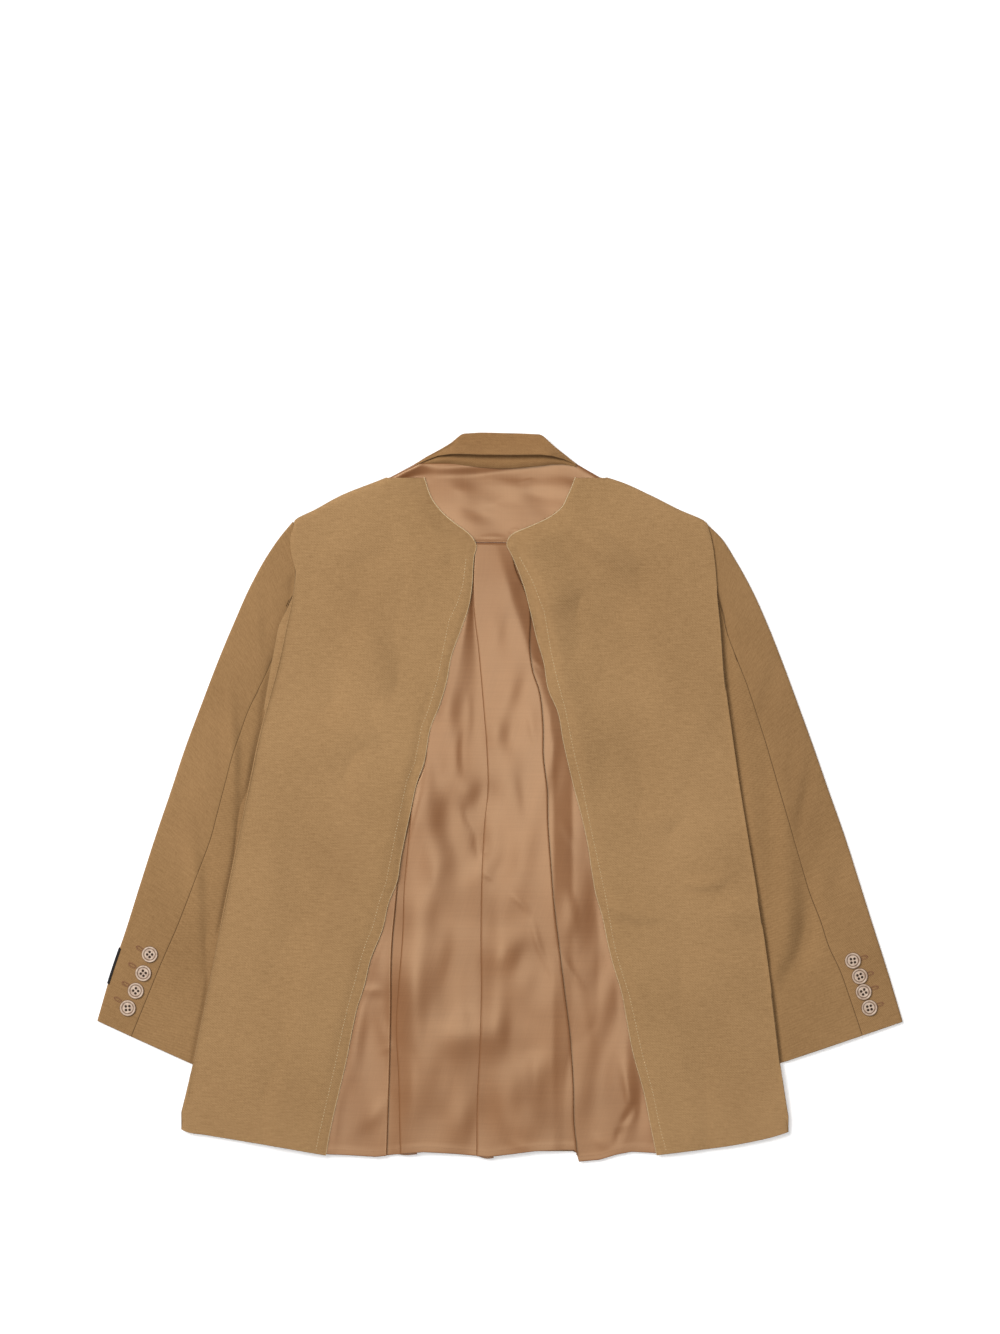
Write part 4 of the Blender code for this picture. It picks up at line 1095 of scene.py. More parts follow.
def halfTurn(edge, start, end, towards, count=7):
    # a fold seen from its end, its outside at the edge
    radius = (end - start) / 2
    middle = (start + end) / 2
    turns = np.linspace(-math.pi / 2, math.pi / 2, count)
    return [(edge + towards * abs(radius) * (math.cos(t) - 1), middle + radius * math.sin(t)) for t in turns]


def pleatSection(left, valleyLeft, valleyRight, boxLeft, boxRight, right):
    low, middle, high = 0.0, lining["rise"], 2 * lining["rise"]
    under = lining["underlay"]
    wide = lining["wideUnderlay"]
    points = [(x, high) for x in np.linspace(left, valleyLeft - 0.002, 24)]
    points += halfTurn(valleyLeft, high, middle, 1)
    points += halfTurn(valleyLeft - under, middle, low, -1)
    points += [(x, low) for x in np.linspace(valleyLeft - under + 0.003, valleyRight + wide - 0.003, 12)]
    points += halfTurn(valleyRight + wide, low, middle, 1)
    points += halfTurn(valleyRight, middle, high, -1)
    start = valleyRight + 0.002
    end = boxLeft + wide - 0.003
    for share in np.linspace(0, 1, 30):
        x = start + (end - start) * share
        drop = easing((x - (valleyRight + wide + 0.0015)) / max(boxLeft - 0.003 - valleyRight - wide, 0.002))
        points.append((x, high * (1 - float(drop))))
    points += halfTurn(boxLeft + wide, low, middle, 1)
    points += halfTurn(boxLeft, middle, high, -1)
    for share in np.linspace(0.03, 0.97, 34):
        points.append((boxLeft + (boxRight - boxLeft) * share, high + 0.0003 * math.sin(math.pi * share)))
    points += halfTurn(boxRight, high, middle, 1)
    points += halfTurn(boxRight - under, middle, low, -1)
    points += [(x, low) for x in np.linspace(boxRight - under + 0.003, right, 36)]
    return np.array(points)


def makeLining():
    y = np.linspace(onPlan(lining["top"]), onPlan(lining["foot"]), lining["rows"])
    y = np.sort(np.concatenate([y, [y[-1] + 0.0009]]))[::-1]
    left, right = [tabled(lining["edges"], y, column) for column in (1, 2)]
    lines = [traced(lining[name]) for name in ("valleyLeft", "valleyRight", "boxLeft", "boxRight")]
    folds = [through(line[:, 1], line[:, 0], y) for line in lines]
    sections = np.array([pleatSection(*row) for row in zip(left, *folds, right)])
    x, rise = sections[..., 0], sections[..., 1]
    rows = np.broadcast_to(y[:, None], x.shape)
    hem = traced(lining["hem"])
    hemRow = np.interp(x, hem[:, 0], hem[:, 1])
    fanFrom = onPlan(lining["fanFrom"])
    share = np.clip((fanFrom - rows) / (fanFrom - y[-1]), 0, 1)
    rows = np.where(share > 0, fanFrom + (hemRow - fanFrom) * share, rows)
    tops = grown(np.maximum(topOfNode("front_left"), topOfNode("front_right")), 0.001)
    tops = grown(tops, *lining["bridge"])
    base = softened(np.where(np.isfinite(tops), tops, 0), 0.008) + cloth["gap"]
    tuck = np.maximum(*[np.exp(-(((x - middle) / half) ** 4)) for middle, half in lining["tucks"]])
    low = 1 - easing((rise - 0.0008) / 0.0012)
    rows = rows - lining["tuckBy"] * low * tuck * easing((fanFrom - rows) / 0.05)
    z = np.maximum(heightAt(base, x, rows), lining["floor"]) + cloth["satin"] / 2 + rise
    wide, long = lining["leanSize"]
    leans = [(px, py, wide * width, long * length, *rest) for px, py, width, length, *rest in lining["leans"]]
    soft = lining["foldShare"] * creased(x, rows, lining["folds"])
    soft = bounded(soft + lining["leanShare"] * leaning(x, rows, leans, lining["leanWay"]))
    start, over = lining["clearRaw"]
    for side in ("left", "right"):
        soft = soft * easing((start - outward[side] * (x - rawX(side, rows))) / over)
    atHem = 1 - easing((rows - hemRow - lining["hemDepth"]) / 0.0008 + 0.5)
    grid = np.dstack([x, rows, z + lining["lift"] + soft + lining["hemRise"] * atHem])
    piece = sew("pleatedLining", grid, cloth["satin"], liningSatin, developed(grid))
    declare("lining_pleated_panel")
    return piece


makeYoke()
liningPiece = makeLining()
print("lining sewn")


# Backs

def clearOf(z, x, y, names):
    # raised where another layer lies under it
    top = grown(np.maximum.reduce([pileTops[name] for name in names]), 0.024)
    top = softened(softened(np.where(np.isfinite(top), top, 0), 0.015), 0.006)
    return np.maximum(z, heightAt(top, x, y) + cloth["gap"] + cloth["wool"] / 2)


def makeBack(side):
    top, foot = onPlan(body["top"]), onPlan(body["foot"])
    y = spread(int((top - foot) / body["rowStep"]), top, foot, 3, 0.0009)
    near = np.array(body["nearRaw"]) / body["width"]
    far = 1 - np.array(body["nearSide"]) / body["width"]
    shares = np.sort(np.concatenate([spread(body["columns"], 0, 1), near, far]))
    plan = fanned(ruled(rawX(side, y), sideX(side, y), y, shares), side)
    x, rows = plan[..., 0], plan[..., 1]
    z = heightAt(solidTop(f"back_{side}"), x, rows) - cloth["wool"] / 2
    z = z + creased(x, rows, body["folds"][side]) + leaning(x, rows, body["leans"][side])
    hidden = ["pleatedLining", "liningYoke"]
    hidden += [f"{piece}_{side}_cloth" for piece in ("front", "lapel", "collarLeaf")] + [f"sidePanel_{side}"]
    z = clearOf(z, x, rows, hidden)
    rest = cloth["gap"] + cloth["wool"] / 2
    # the raw edge settles on the lining
    satinTop = np.maximum(pileTops["pleatedLining"], pileTops["liningYoke"])
    settled = heightAt(softened(filled(grown(satinTop, 0.002)), 0.002), x, rows) + rest
    fromRaw = awayFrom(x, rows, traced(body[side]["raw"]))
    thin = body["edgeTaper"] + (1 - body["edgeTaper"]) * easing(fromRaw / body["taperWidth"])
    settled = settled - 0.5 * cloth["wool"] * (1 - thin)
    z = z + (settled - z) * (1 - easing(fromRaw / body["drapeWidth"])) * (rows < body["drapeTop"])
    # the side edge rolls down to what it lies on
    names = [f"topSleeve_{side}", f"underSleeve_{side}", f"front_{side}_cloth", f"sidePanel_{side}"]
    under = grown(np.maximum.reduce([pileTops[name] for name in names]), 0.006)
    lowEdge = heightAt(softened(softened(filled(under), 0.009), 0.006), x, rows) + rest
    lowEdge = lowEdge + tabled(body["overhang"][side], rows)
    fromSide = awayFrom(x, rows, np.column_stack([sideX(side, y), y]))
    grid = np.dstack([plan, rolledDown(z, lowEdge, fromSide, body["rollWidth"])])
    piece = sew(f"back_{side}_cloth", grid, cloth["wool"] * thin, bodyWool)
    declare(f"back_{side}")
    return piece


backPieces = {side: makeBack(side) for side in ("left", "right")}
print("backs sewn")


# Collar

collar = {
    # x, the fold, the fall's edge and the stand's edge
    "rows": [
        (-92.5, 367.3, 365.2, 364.6), (-88, 370.2, 367.4, 366), (-81, 374.7, 370.6, 367.2),
        (-68, 381.5, 375.4, 367.6),
        (-54, 389.6, 377, 367), (-41.5, 400, 377, 365.5), (-21, 401.3, 376.2, 363), (0, 400.8, 376, 361.8),
        (22, 400.3, 376, 362.6), (45.5, 399.2, 376.2, 365), (58, 387.5, 374.6, 366.6), (70, 378, 371.6, 366.8),
        (79, 371, 367.8, 365.4), (83.5, 367.2, 365, 363.6),
    ],
    "columns": 130,
    "turn": 0.006,
    "lift": 0.004,  # how far the collar rises towards its fold, from what y and over how much
    "liftFrom": 365,
    "liftOver": 0.036,
    "standLift": 0.0008,
    "puff": 0.0036,  # how far the stand swells below the fall's edge
    "free": 0.0098,  # how far the fall's edge stands off the stand
}


def collarLift(y):
    return collar["lift"] * easing((y - onPlan(collar["liftFrom"])) / collar["liftOver"])


def makeCollar():
    table = np.array(collar["rows"], float) * 0.001
    table[:, 1:] += cloth["shiftY"]
    x = np.linspace(table[0, 0], table[-1, 0], collar["columns"])
    fold, fall, stand = [np.interp(x, table[:, 0], table[:, edge]) for edge in (1, 2, 3)]
    fold = np.convolve(np.pad(fold, 2, mode="edge"), np.ones(5) / 5, mode="valid")
    standTop = solidTop("collar_stand", 0.003)
    spacing = cloth["wool"] + cloth["gap"]
    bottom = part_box("collar_stand")[0].z + cloth["wool"] / 2
    upperRows = []
    lowerRows = []
    for i in range(len(x)):
        base = float(heightAt(standTop, x[i], stand[i])) - cloth["wool"] / 2
        base = max(base, bottom) + collar["standLift"]
        turn = min(collar["turn"], 0.5 * (fold[i] - fall[i]))
        top = fold[i] - cloth["wool"] / 2
        low = np.linspace(top - turn - cloth["gap"], stand[i], 30)
        shown = np.clip((fall[i] - low) / max(fall[i] - stand[i], 1e-6), 0, 1)
        swell = collar["puff"] * easing((fall[i] - stand[i]) / 0.010) * np.sin(np.pi * shown)
        lowerRows.append([(x[i], y, base + collarLift(y) + rise) for y, rise in zip(low, swell)])
        openBy = collar["free"] * easing((fold[i] - fall[i]) / 0.018)
        section = []
        for y in np.linspace(fall[i], top - turn, 18)[:-1]:
            rest = easing((y - fall[i]) / 0.016)
            section.append((y, base + spacing + openBy * (1 - float(rest))))
        section += halfTurn(top, base + spacing, base, 1, 9)
        section.append((top - turn, base))
        upperRows.append([(x[i], y, z + collarLift(y)) for y, z in section])
    for name, node, sections, below in (("collarStand", "collar_stand", lowerRows, "liningYoke"),
                                        ("collarFall", "collar_fall", upperRows, "collarStand")):
        grid = np.array(sections)
        piece = sew(name, grid, cloth["wool"], shadedCollarWool)
        declare(node)


makeCollar()
print("collar sewn")


# Buttons

buttons = {
    "cuff": 0.009,
    "front": 0.0115,
    # radius and height, as shares of the radius, from the middle of the face over the rim to the back
    "profile": [
        (0.0, 0.205), (0.30, 0.205), (0.50, 0.215), (0.58, 0.222), (0.625, 0.218), (0.665, 0.165),
        (0.715, 0.160),
        (0.765, 0.235), (0.83, 0.262), (0.885, 0.268), (0.935, 0.250), (0.975, 0.205), (1.0, 0.140),
        (0.985, 0.080),
        (0.93, 0.035), (0.84, 0.010), (0.60, 0.0), (0.0, 0.0),
    ],
    "segments": 56,
    "holeRadius": 0.165,
    "holeFromMiddle": 0.310,
    "groove": (0.69, 0.065),  # where the ring of painted shade is and how wide
    # where the painted shade round the edge starts, over how much it grows, and how strong it is there
    "darkEdge": 0.935,
    "darkOver": 0.04,
    "edgeShare": 0.9,
    # middle x and y in millimetres, and how far the holes are turned
    "left": [(-385.2, -172.6, 45), (-392.3, -193.3, 52), (-400.6, -212.6, 40), (-409.4, -231.6, 4)],
    "right": [(388.1, -179.4, 8), (395.6, -196.6, 24), (399.9, -213.9, 32), (406.3, -231.4, 14)],
    "closing": 2,
    "ringTurns": [45, 135, 225, 315],
    # the thread in each hole, a near-black plug that also paints the hole's shade: height and size, as shares
    # of the disc's radius and the hole's
    "plug": [(0.02, 1.0), (0.13, 1.0), (0.165, 0.7), (0.175, 0.2)],
    "plugSize": 0.9,
    "plugHeight": {"cuff": 1.0, "front": 0.98},
    "plugSides": 10,
}


def turnedDisc(name, radius):
    mesh = bpy.data.meshes.new(name)
    made = bmesh.new()
    profile = [Vector((r * radius, 0, h * radius)) for r, h in buttons["profile"]]
    line = [made.verts.new(point) for point in profile]
    edges = [made.edges.new(pair) for pair in zip(line[:-1], line[1:])]
    bmesh.ops.spin(made, geom=line + edges, axis=(0, 0, 1), cent=(0, 0, 0), steps=buttons["segments"],
                   angle=2 * math.pi, use_duplicate=False)
    bmesh.ops.remove_doubles(made, verts=made.verts, dist=radius * 1e-4)
    bmesh.ops.recalc_face_normals(made, faces=made.faces)
    made.to_mesh(mesh)
    made.free()
    disc = bpy.data.objects.new(name, mesh)
    bpy.context.scene.collection.objects.link(disc)
    drillMesh = bpy.data.meshes.new("drill")
    drills = bmesh.new()
    place = buttons["holeFromMiddle"] * radius
    for turn in np.radians(buttons["ringTurns"]):
        spot = Vector((place * math.cos(turn), place * math.sin(turn), 0.1 * radius))
        ring = bmesh.ops.create_cone(drills, cap_ends=True, segments=18, radius1=buttons["holeRadius"] * radius,
                                     radius2=buttons["holeRadius"] * radius, depth=radius)
        bmesh.ops.translate(drills, verts=ring["verts"], vec=spot)
    drills.to_mesh(drillMesh)
    drills.free()
    drill = bpy.data.objects.new("drill", drillMesh)
    bpy.context.scene.collection.objects.link(drill)
    cut = disc.modifiers.new("holes", "BOOLEAN")
    cut.object = drill
    cut.solver = "EXACT"
    result = bpy.data.meshes.new_from_object(disc.evaluated_get(bpy.context.evaluated_depsgraph_get()))
    bpy.data.objects.remove(disc)
    bpy.data.objects.remove(drill)
    points = np.array([v.co for v in result.vertices])
    faces = [list(p.vertices) for p in result.polygons]
    bpy.data.meshes.remove(result)
    return points, faces


def paintedShadeOf(points, radius):
    # painted shade on each point of a button: in the turned groove and round the outer edge
    fromMiddle = np.hypot(points[:, 0], points[:, 1]) / radius
    middle, width = buttons["groove"]
    ring = np.clip(1 - np.abs(fromMiddle - middle) / width, 0, 1) ** 0.5 * (points[:, 2] > 0.1 * radius)
    edge = easing((fromMiddle - buttons["darkEdge"]) / buttons["darkOver"])
    return np.maximum(ring, buttons["edgeShare"] * edge)


def shadedThreadPlugs(radius):
    # the sewing thread fills each hole to just under the face; its near-black colour is painted shade of the
    # deep hole
    points = []
    faces = []
    place = buttons["holeFromMiddle"] * radius
    sides = buttons["plugSides"]
    for way in np.radians(buttons["ringTurns"]):
        start = len(points)
        for height, share in buttons["plug"]:
            size = buttons["plugSize"] * buttons["holeRadius"] * radius * share
            for turn in math.tau * np.arange(sides) / sides:
                points.append((place * math.cos(way) + size * math.cos(turn),
                               place * math.sin(way) + size * math.sin(turn), height * radius))
        last = start + (len(buttons["plug"]) - 1) * sides
        for ring in range(start, last, sides):
            for corner in range(sides):
                a, b = ring + corner, ring + (corner + 1) % sides
                faces.append([a, b, b + sides, a + sides])
        faces.append(list(range(start, start + sides))[::-1])
        faces.append(list(range(last, last + sides)))
    return np.array(points), faces


def meshPiece(name, points, faces, look):
    mesh = bpy.data.meshes.new(name)
    mesh.from_pydata(np.asarray(points).tolist(), [], [list(face) for face in faces])
    made = bmesh.new()
    made.from_mesh(mesh)
    bmesh.ops.recalc_face_normals(made, faces=made.faces)
    made.to_mesh(mesh)
    made.free()
    mesh.shade_smooth()
    mesh.set_sharp_from_angle(angle=math.radians(50))
    mesh.materials.append(look)
    piece = bpy.data.objects.new(name, mesh)
    bpy.context.scene.collection.objects.link(piece)
    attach(piece, "root")
    return piece


def treeOf(piece):
    corners = [v.co for v in piece.data.vertices]
    return BVHTree.FromPolygons(corners, [list(p.vertices) for p in piece.data.polygons])


def landing(trees, x, y):
    # the highest point of cloth at a place on the plan, and the way it faces
    best = None
    for tree in trees:
        spot, way, _, _ = tree.ray_cast(Vector((x, y, 0.1)), Vector((0, 0, -1)))
        if spot is not None and (best is None or spot.z > best[0].z):
            best = (spot, way)
    return best


sleeveTrees = {side: [treeOf(piece) for piece, _ in sleevePieces[side]] for side in ("left", "right")}


def makeButtons():
    discs = {kind: turnedDisc(kind, buttons[kind]) for kind in ("cuff", "front")}
    shadedPlugs = {kind: shadedThreadPlugs(buttons[kind]) for kind in ("cuff", "front")}
    shadedPlugPoints = []
    shadedPlugFaces = []

    def sewOn(kind, name, node, turn, ways, spot):
        c, s = math.cos(turn), math.sin(turn)
        ways = np.array([[c, s, 0], [-s, c, 0], [0, 0, 1]]) @ ways
        points, faces = discs[kind]
        piece = meshPiece(name, points @ ways + spot, faces, paleHorn)
        # painted shade of the button's groove and edge, as a point attribute
        layer = piece.data.attributes.new("paintedShade", "FLOAT", "POINT")
        layer.data.foreach_set("value", paintedShadeOf(points, buttons[kind]).astype(np.float32))
        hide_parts(node)
        points, faces = shadedPlugs[kind]
        start = sum(len(part) for part in shadedPlugPoints)
        shadedPlugFaces.extend([[corner + start for corner in face] for face in faces])
        shadedPlugPoints.append(points * np.array([1, 1, buttons["plugHeight"][kind]]) @ ways + spot)

    for side in ("left", "right"):
        for number, (x, y, turn) in enumerate(buttons[side], 1):
            x, y = traced([(x, y)])[0]
            reach = buttons["cuff"] * 0.8
            ring = [landing(sleeveTrees[side], x + reach * math.cos(t), y + reach * math.sin(t))[0]
                    for t in np.linspace(0, math.tau, 12, endpoint=False)]
            heights = np.array([point.z for point in ring])
            plane = np.array([[point.x - x, point.y - y, 1] for point in ring])
            slopeX, slopeY, middle = np.linalg.lstsq(plane, heights, rcond=None)[0]
            up = unit(np.array([-slopeX, -slopeY, 1.0]))
            wayX = unit(np.array([1, 0, slopeX]))
            ways = np.array([wayX, np.cross(up, wayX), up])
            clear = max(0, float((heights - plane @ [slopeX, slopeY, middle]).max())) + cloth["gap"]
            spot = np.array([x, y, middle]) + up * clear
            name, node = f"cuffButton_{side}_{number}", f"cuff_button_{side}_{number}"
            sewOn("cuff", name, node, math.radians(turn), ways, spot)
    for number in range(1, buttons["closing"] + 1):
        low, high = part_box(f"front_button_{number}")
        spot = np.array([*((low + high) / 2)[:2], low.z + discs["front"][0][:, 2].max()])
        sewOn("front", f"closingButton_{number}", f"front_button_{number}", 0, np.diag([1.0, -1.0, -1.0]), spot)
    # the plugs of thread, near-black with painted shade of the holes
    meshPiece("buttonThreadsWithHoleShade", np.concatenate(shadedPlugPoints), shadedPlugFaces, threadWithHoleShade)


makeButtons()
print("buttons made")


# Label: a bare tape over the left sleeve's outer edge

label = {"from": -165.5, "to": -205.0, "thick": 0.0006, "stand": 0.00045, "over": 98, "around": 235, "rows": 30}


def makeLabel():
    rows = sleeveTable("left")
    grid = []
    for y in np.linspace(label["from"], label["to"], label["rows"]) * 0.001 + cloth["shiftY"]:
        row = [np.interp(-y, -rows[:, 1], rows[:, column]) for column in range(6)]
        way = unit(np.array([row[2] - row[0], row[3] - row[1]]))
        height = cloth["wool"] / 2 + row[4] / 2
        radius = height + label["stand"] + label["thick"] / 2
        centre = np.array([row[0], row[1]]) + way * height
        section = []
        for turn in np.radians(np.linspace(label["over"], label["around"], 22)):
            section.append([*(centre + way * radius * math.cos(turn)), height + radius * math.sin(turn)])
        grid.append(section)
    grid = np.array(grid)
    piece = sew("sleeveLabel", grid, label["thick"], labelTape, developed(grid))
    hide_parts("sleeve_label")
    return piece


labelPiece = makeLabel()
for side, pieces in sleevePieces.items():
    for (piece, cut), part in zip(pieces, ("top", "under")):
        declare(f"{part}_sleeve_{side}")
print("label made")


# Stitches and frayed yarns, made along lines by Geometry Nodes

def lineTree(name, look, fibre=False):
    # small bodies set along a line: a fat grain for a stitch, or a bent hair for a frayed yarn
    tree = bpy.data.node_groups.new(name, "GeometryNodeTree")
    face = tree.interface
    face.new_socket("Line", in_out="INPUT", socket_type="NodeSocketGeometry")
    sizes = {"Pitch": 0.003, "Length": 0.002, "Thickness": 0.0005, "Turn": 0.0, "Stray": 0.1, "Lift": 0.0}
    for word, value in sizes.items():
        face.new_socket(word, in_out="INPUT", socket_type="NodeSocketFloat").default_value = value
    face.new_socket("Seed", in_out="INPUT", socket_type="NodeSocketInt").default_value = 3
    face.new_socket("Bodies", in_out="OUTPUT", socket_type="NodeSocketGeometry")
    given = tree.nodes.new("NodeGroupInput").outputs
    curve = linked(tree, "GeometryNodeMeshToCurve", Mesh=given["Line"]).outputs["Curve"]
    even = linked(tree, "GeometryNodeResampleCurve", ("mode", "LENGTH"), Curve=curve, Length=given["Pitch"])
    if fibre:
        hair = linked(tree, "GeometryNodeCurveQuadraticBezier", Resolution=4, Start=(0, 0, 0),
                      Middle=(0.55, 0.02, 0.10), End=(1.0, 0.16, 0.02))
        ring = linked(tree, "GeometryNodeCurvePrimitiveCircle", Resolution=3, Radius=0.035)
        grain = linked(tree, "GeometryNodeCurveToMesh", Curve=hair.outputs["Curve"],
                       Profile_Curve=ring.outputs["Curve"], Fill_Caps=True)
    else:
        grain = linked(tree, "GeometryNodeMeshUVSphere", Segments=6, Rings=5, Radius=0.5)
    tangent = tree.nodes.new("GeometryNodeInputTangent").outputs["Tangent"]
    aim = linked(tree, "FunctionNodeAlignRotationToVector", ("axis", "X"), Vector=tangent)
    aim.pivot_axis = "Z"
    uneven = linked(tree, "FunctionNodeRandomValue", ("data_type", "FLOAT"), Seed=given["Seed"])
    uneven.inputs[2].default_value = 0.72
    uneven.inputs[3].default_value = 1.2
    long = linked(tree, "ShaderNodeMath", ("operation", "MULTIPLY"))
    tree.links.new(given["Length"], long.inputs[0])
    tree.links.new(uneven.outputs[1], long.inputs[1])
    thick = long.outputs[0] if fibre else given["Thickness"]
    scale = linked(tree, "ShaderNodeCombineXYZ", X=long.outputs[0], Y=thick, Z=thick)
    put = linked(tree, "GeometryNodeInstanceOnPoints", Points=even.outputs["Curve"], Instance=grain.outputs[0],
                 Rotation=aim.outputs["Rotation"], Scale=scale.outputs["Vector"])
    stray = linked(tree, "FunctionNodeRandomValue", ("data_type", "FLOAT_VECTOR"), Seed=given["Seed"])
    stray.inputs[0].default_value = (-0.15, -0.5, -1)
    stray.inputs[1].default_value = (0.15, 0.1, 1)
    strayed = linked(tree, "ShaderNodeVectorMath", ("operation", "SCALE"), Scale=given["Stray"])
    tree.links.new(stray.outputs[0], strayed.inputs[0])
    turn = linked(tree, "ShaderNodeCombineXYZ", Z=given["Turn"])
    both = linked(tree, "ShaderNodeVectorMath", ("operation", "ADD"))
    tree.links.new(strayed.outputs[0], both.inputs[0])
    tree.links.new(turn.outputs[0], both.inputs[1])
    spun = linked(tree, "GeometryNodeRotateInstances", Instances=put.outputs["Instances"],
                  Rotation=both.outputs[0])
    rise = linked(tree, "ShaderNodeCombineXYZ", Z=given["Lift"])
    up = linked(tree, "GeometryNodeTranslateInstances", Instances=spun.outputs["Instances"],
                Translation=rise.outputs[0], Local_Space=False)
    real = linked(tree, "GeometryNodeRealizeInstances", Geometry=up.outputs["Instances"])
    finish = linked(tree, "GeometryNodeSetMaterial", Geometry=real.outputs["Geometry"], Material=look)
    out = tree.nodes.new("NodeGroupOutput")
    tree.links.new(finish.outputs["Geometry"], out.inputs["Bodies"])
    return tree


def alongLines(name, lines, look, slot, fibre=False, **sizes):
    points = []
    edges = []
    for line in lines:
        edges += [(i, i + 1) for i in range(len(points), len(points) + len(line) - 1)]
        points += line
    mesh = bpy.data.meshes.new(name)
    mesh.from_pydata([tuple(float(v) for v in point) for point in points], edges, [])
    route = bpy.data.objects.new(name + "Route", mesh)
    bpy.context.scene.collection.objects.link(route)
    tree = lineTree(name + "Tree", look, fibre)
    live = route.modifiers.new("along", "NODES")
    live.node_group = tree
    for socket in tree.interface.items_tree:
        if socket.in_out == "INPUT" and socket.name in sizes:
            live[socket.identifier] = sizes[socket.name]
    bpy.context.view_layer.update()
    made = bpy.data.meshes.new_from_object(route.evaluated_get(bpy.context.evaluated_depsgraph_get()))
    bpy.data.objects.remove(route)
    made.name = name
    piece = bpy.data.objects.new(name, made)
    bpy.context.scene.collection.objects.link(piece)
    if not made.materials:
        made.materials.append(look)
    made.shade_smooth()
    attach(piece, "root")
    return piece


def laidLine(points, trees, rise, step=0.002):
    # a plan line set on the cloth under it
    points = np.asarray(points, float)
    run = np.concatenate([[0], np.cumsum(np.hypot(*np.diff(points, axis=0).T))])
    at = np.arange(0, run[-1], step)
    plan = np.column_stack([np.interp(at, run, points[:, 0]), np.interp(at, run, points[:, 1])])
    line = []
    for x, y in plan:
        found = landing(trees, x, y)
        if found is not None:
            line.append((x, y, found[0].z + rise))
    return line


stitching = {
    # each kind's sizes, and how far above the cloth its line runs
    "stay": {"Pitch": 0.0034, "Length": 0.0019, "Thickness": 0.00056, "Stray": 0.12, "Seed": 5},
    "frayed": {"Pitch": 0.0011, "Length": 0.0021, "Stray": 0.75, "Lift": -0.0001, "Seed": 11},
    "neckYarn": {"Pitch": 0.0019, "Length": 0.0024, "Thickness": 0.00078, "Stray": 0.08, "Seed": 7},
    "edgeYarn": {"Pitch": 0.0019, "Length": 0.0024, "Thickness": 0.00046, "Stray": 0.08, "Seed": 7},
    "holes": {"Pitch": 0.00115, "Length": 0.0026, "Thickness": 0.00062, "Turn": math.pi / 2,
              "Stray": 0.25, "Seed": 2},
    "hem": {"Pitch": 0.0026, "Length": 0.0019, "Thickness": 0.00032, "Stray": 0.05, "Seed": 4},
    "rise": {"stay": 0.00008, "frayed": 0.0, "edge": 0.00005, "holes": 0.0001, "hem": 0.00003},
    # how far in from the raw edge the frayed yarns and the edge yarn run
    "frayedInset": 0.0004,
    "edgeInset": 0.0002,
    # the row of long pale stitches that holds each raw edge
    "leftStay": [
        (-37.4, 261.2), (-40.7, 233.8), (-46.8, 214), (-56.1, 194.2), (-64.4, 152.4), (-69.3, 127.1),
        (-78.1, 98.5),
        (-86.4, 76.5), (-93.5, 39.1), (-102.3, 19.2), (-108.9, -11.6), (-114.4, -38), (-119.9, -66.6),
        (-125.4, -94.1), (-133.1, -116.1), (-139.7, -141.4), (-147.4, -160.1), (-154, -181), (-160.6, -206.3),
        (-167.2, -229.4), (-172.7, -252.5), (-181.5, -295.4), (-189.2, -328.4), (-199.1, -371.3),
        (-202.4, -388),
    ],
    "rightStay": [
        (22, 263.5), (35.2, 239.3), (44, 216.2), (48.5, 205), (56.1, 160.1), (62.7, 130.4), (71.5, 98.5),
        (78.1, 65.5), (82.5, 44.6), (91.3, 8.2), (100.1, -34.7), (105.6, -60), (116.6, -110.6), (125.4, -161.2),
        (132, -185.4), (141.9, -216.2), (147.4, -240.4), (156.2, -281.1), (168.3, -325.1), (176, -363.6),
        (182.6, -388),
    ],
    # middle of each sham buttonhole, and the way it points
    "leftHoles": [(-396.2, -166.2), (-404.6, -184.8), (-411.8, -205.4), (-420.4, -222.4)],
    "rightHoles": [(399.9, -176.2), (406.5, -194), (411.9, -209.6), (417.6, -227.8)],
    "leftPoints": (-0.87, 0.50),
    "rightPoints": (0.965, 0.26),
    "neckFoot": 0.278,  # above this the raw edge runs round the neckline
    "holeLength": 0.0085,
    "holeWidth": 0.0034,
    "hemInset": 0.0058,
}


def rawEdge(side, inset):
    points = traced(body[side]["raw"])
    y = np.linspace(0.3515, -0.3935, 600) + cloth["shiftY"]
    y = np.clip(y, points[:, 1].min(), points[:, 1].max())
    return np.column_stack([rawX(side, y) + outward[side] * inset, y])


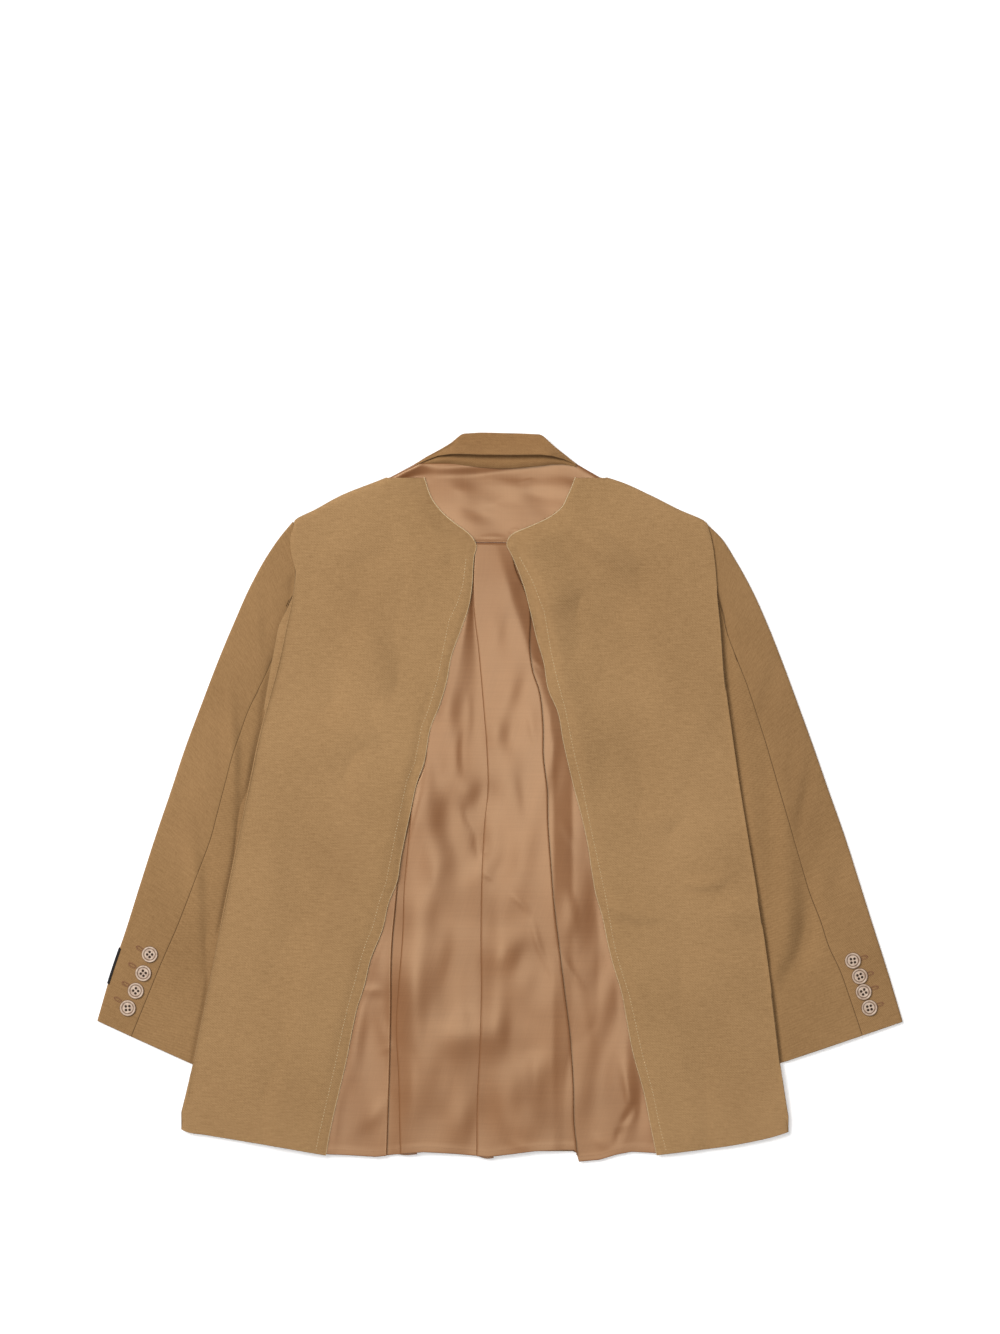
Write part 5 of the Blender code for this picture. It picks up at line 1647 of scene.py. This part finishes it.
def makeStitching():
    rise = stitching["rise"]
    for side in ("left", "right"):
        trees = [treeOf(backPieces[side])]
        line = laidLine(traced(stitching[side + "Stay"]), trees, rise["stay"])
        alongLines(f"stayStitches_{side}", [line], paleYarn, "wool", **stitching["stay"])
        line = laidLine(rawEdge(side, stitching["frayedInset"]), trees, rise["frayed"])
        alongLines(f"frayedYarns_{side}", [line], looseYarn, "wool", fibre=True,
                   Turn=-outward[side] * math.pi / 2, **stitching["frayed"])
        bare = rawEdge(side, stitching["edgeInset"])
        neck = bare[:, 1] > stitching["neckFoot"]
        for kind, part in (("neckYarn", bare[neck]), ("edgeYarn", bare[~neck])):
            line = laidLine(part, trees, rise["edge"])
            alongLines(f"{kind}_{side}", [line], paleYarn, "wool", **stitching[kind])
    holes = []
    for side in ("left", "right"):
        forward = unit(np.array(stitching[side + "Points"]))
        sideways = np.array([-forward[1], forward[0]])
        for middle in traced(stitching[side + "Holes"]):
            outline = []
            for turn in np.linspace(0, math.tau, 40):
                c, s = math.cos(turn), math.sin(turn)
                length = 0.5 * stitching["holeLength"] * math.copysign(abs(c) ** 0.6, c)
                width = 0.5 * stitching["holeWidth"] * math.copysign(abs(s) ** 0.8, s)
                outline.append(middle + forward * length + sideways * width)
            holes.append(laidLine(outline, sleeveTrees[side], rise["holes"], 0.0008))
    alongLines("buttonholeStitches", holes, rustThread, "wool", **stitching["holes"])
    hem = traced(lining["hem"])
    shown = [rawX(side, -0.385) + outward[side] * 0.004 for side in ("left", "right")]
    hem = hem[(hem[:, 0] > shown[0]) & (hem[:, 0] < shown[1])]
    line = laidLine(hem + np.array([0, stitching["hemInset"]]), [treeOf(liningPiece)], rise["hem"])
    alongLines("liningHemStitches", [line], satinThread, "satin", **stitching["hem"])


makeStitching()
print("stitching made")


# Stage, lights and camera

studio = {
    "frameHeight": 1.4674,  # what the photograph's long side takes in
    "middleY": 0.1404,
    "lens": 110,
    "level": 0.007,
}


def makeStage():
    mesh = bpy.data.meshes.new("floor")
    made = bmesh.new()
    bmesh.ops.create_grid(made, x_segments=1, y_segments=1, size=4)
    made.to_mesh(mesh)
    made.free()
    floor = bpy.data.objects.new("floor", mesh)
    floor.location.z = -0.0006
    bpy.context.scene.collection.objects.link(floor)
    # a light table, so that shadows on it stay faint
    look = surface("paleFloor", Base_Color=(0.97, 0.97, 0.97, 1), Roughness=0.9,
                   Emission_Color=(1, 1, 1, 1), Emission_Strength=0.22)[0]
    mesh.materials.append(look)


def makeLight(name, place, size, power):
    data = bpy.data.lights.new(name, "AREA")
    data.shape = "RECTANGLE"
    data.size = data.size_y = size
    data.energy = power
    light = bpy.data.objects.new(name, data)
    light.location = place
    light.rotation_euler = (-Vector(place)).to_track_quat("-Z", "Y").to_euler()
    bpy.context.scene.collection.objects.link(light)


def makeStudio():
    makeStage()
    makeLight("windowLight", (-2.0, 1.7, 3.9), 2.2, 188)
    makeLight("overheadLight", (0.05, -0.15, 5.2), 1.5, 74)
    world = bpy.data.worlds.new("softRoom")
    bpy.context.scene.world = world
    world.use_nodes = True
    background = world.node_tree.nodes["Background"]
    background.inputs["Color"].default_value = (1, 1, 1, 1)
    background.inputs["Strength"].default_value = 0.22
    bpy.context.scene.view_settings.view_transform = "Standard"
    data = bpy.data.cameras.new("camera")
    data.lens = studio["lens"]
    camera = bpy.data.objects.new("camera", data)
    distance = studio["frameHeight"] * studio["lens"] / data.sensor_width
    camera.location = (0, studio["middleY"], distance + studio["level"])
    bpy.context.scene.collection.objects.link(camera)
    bpy.context.scene.camera = camera


makeStudio()
print("studio set")
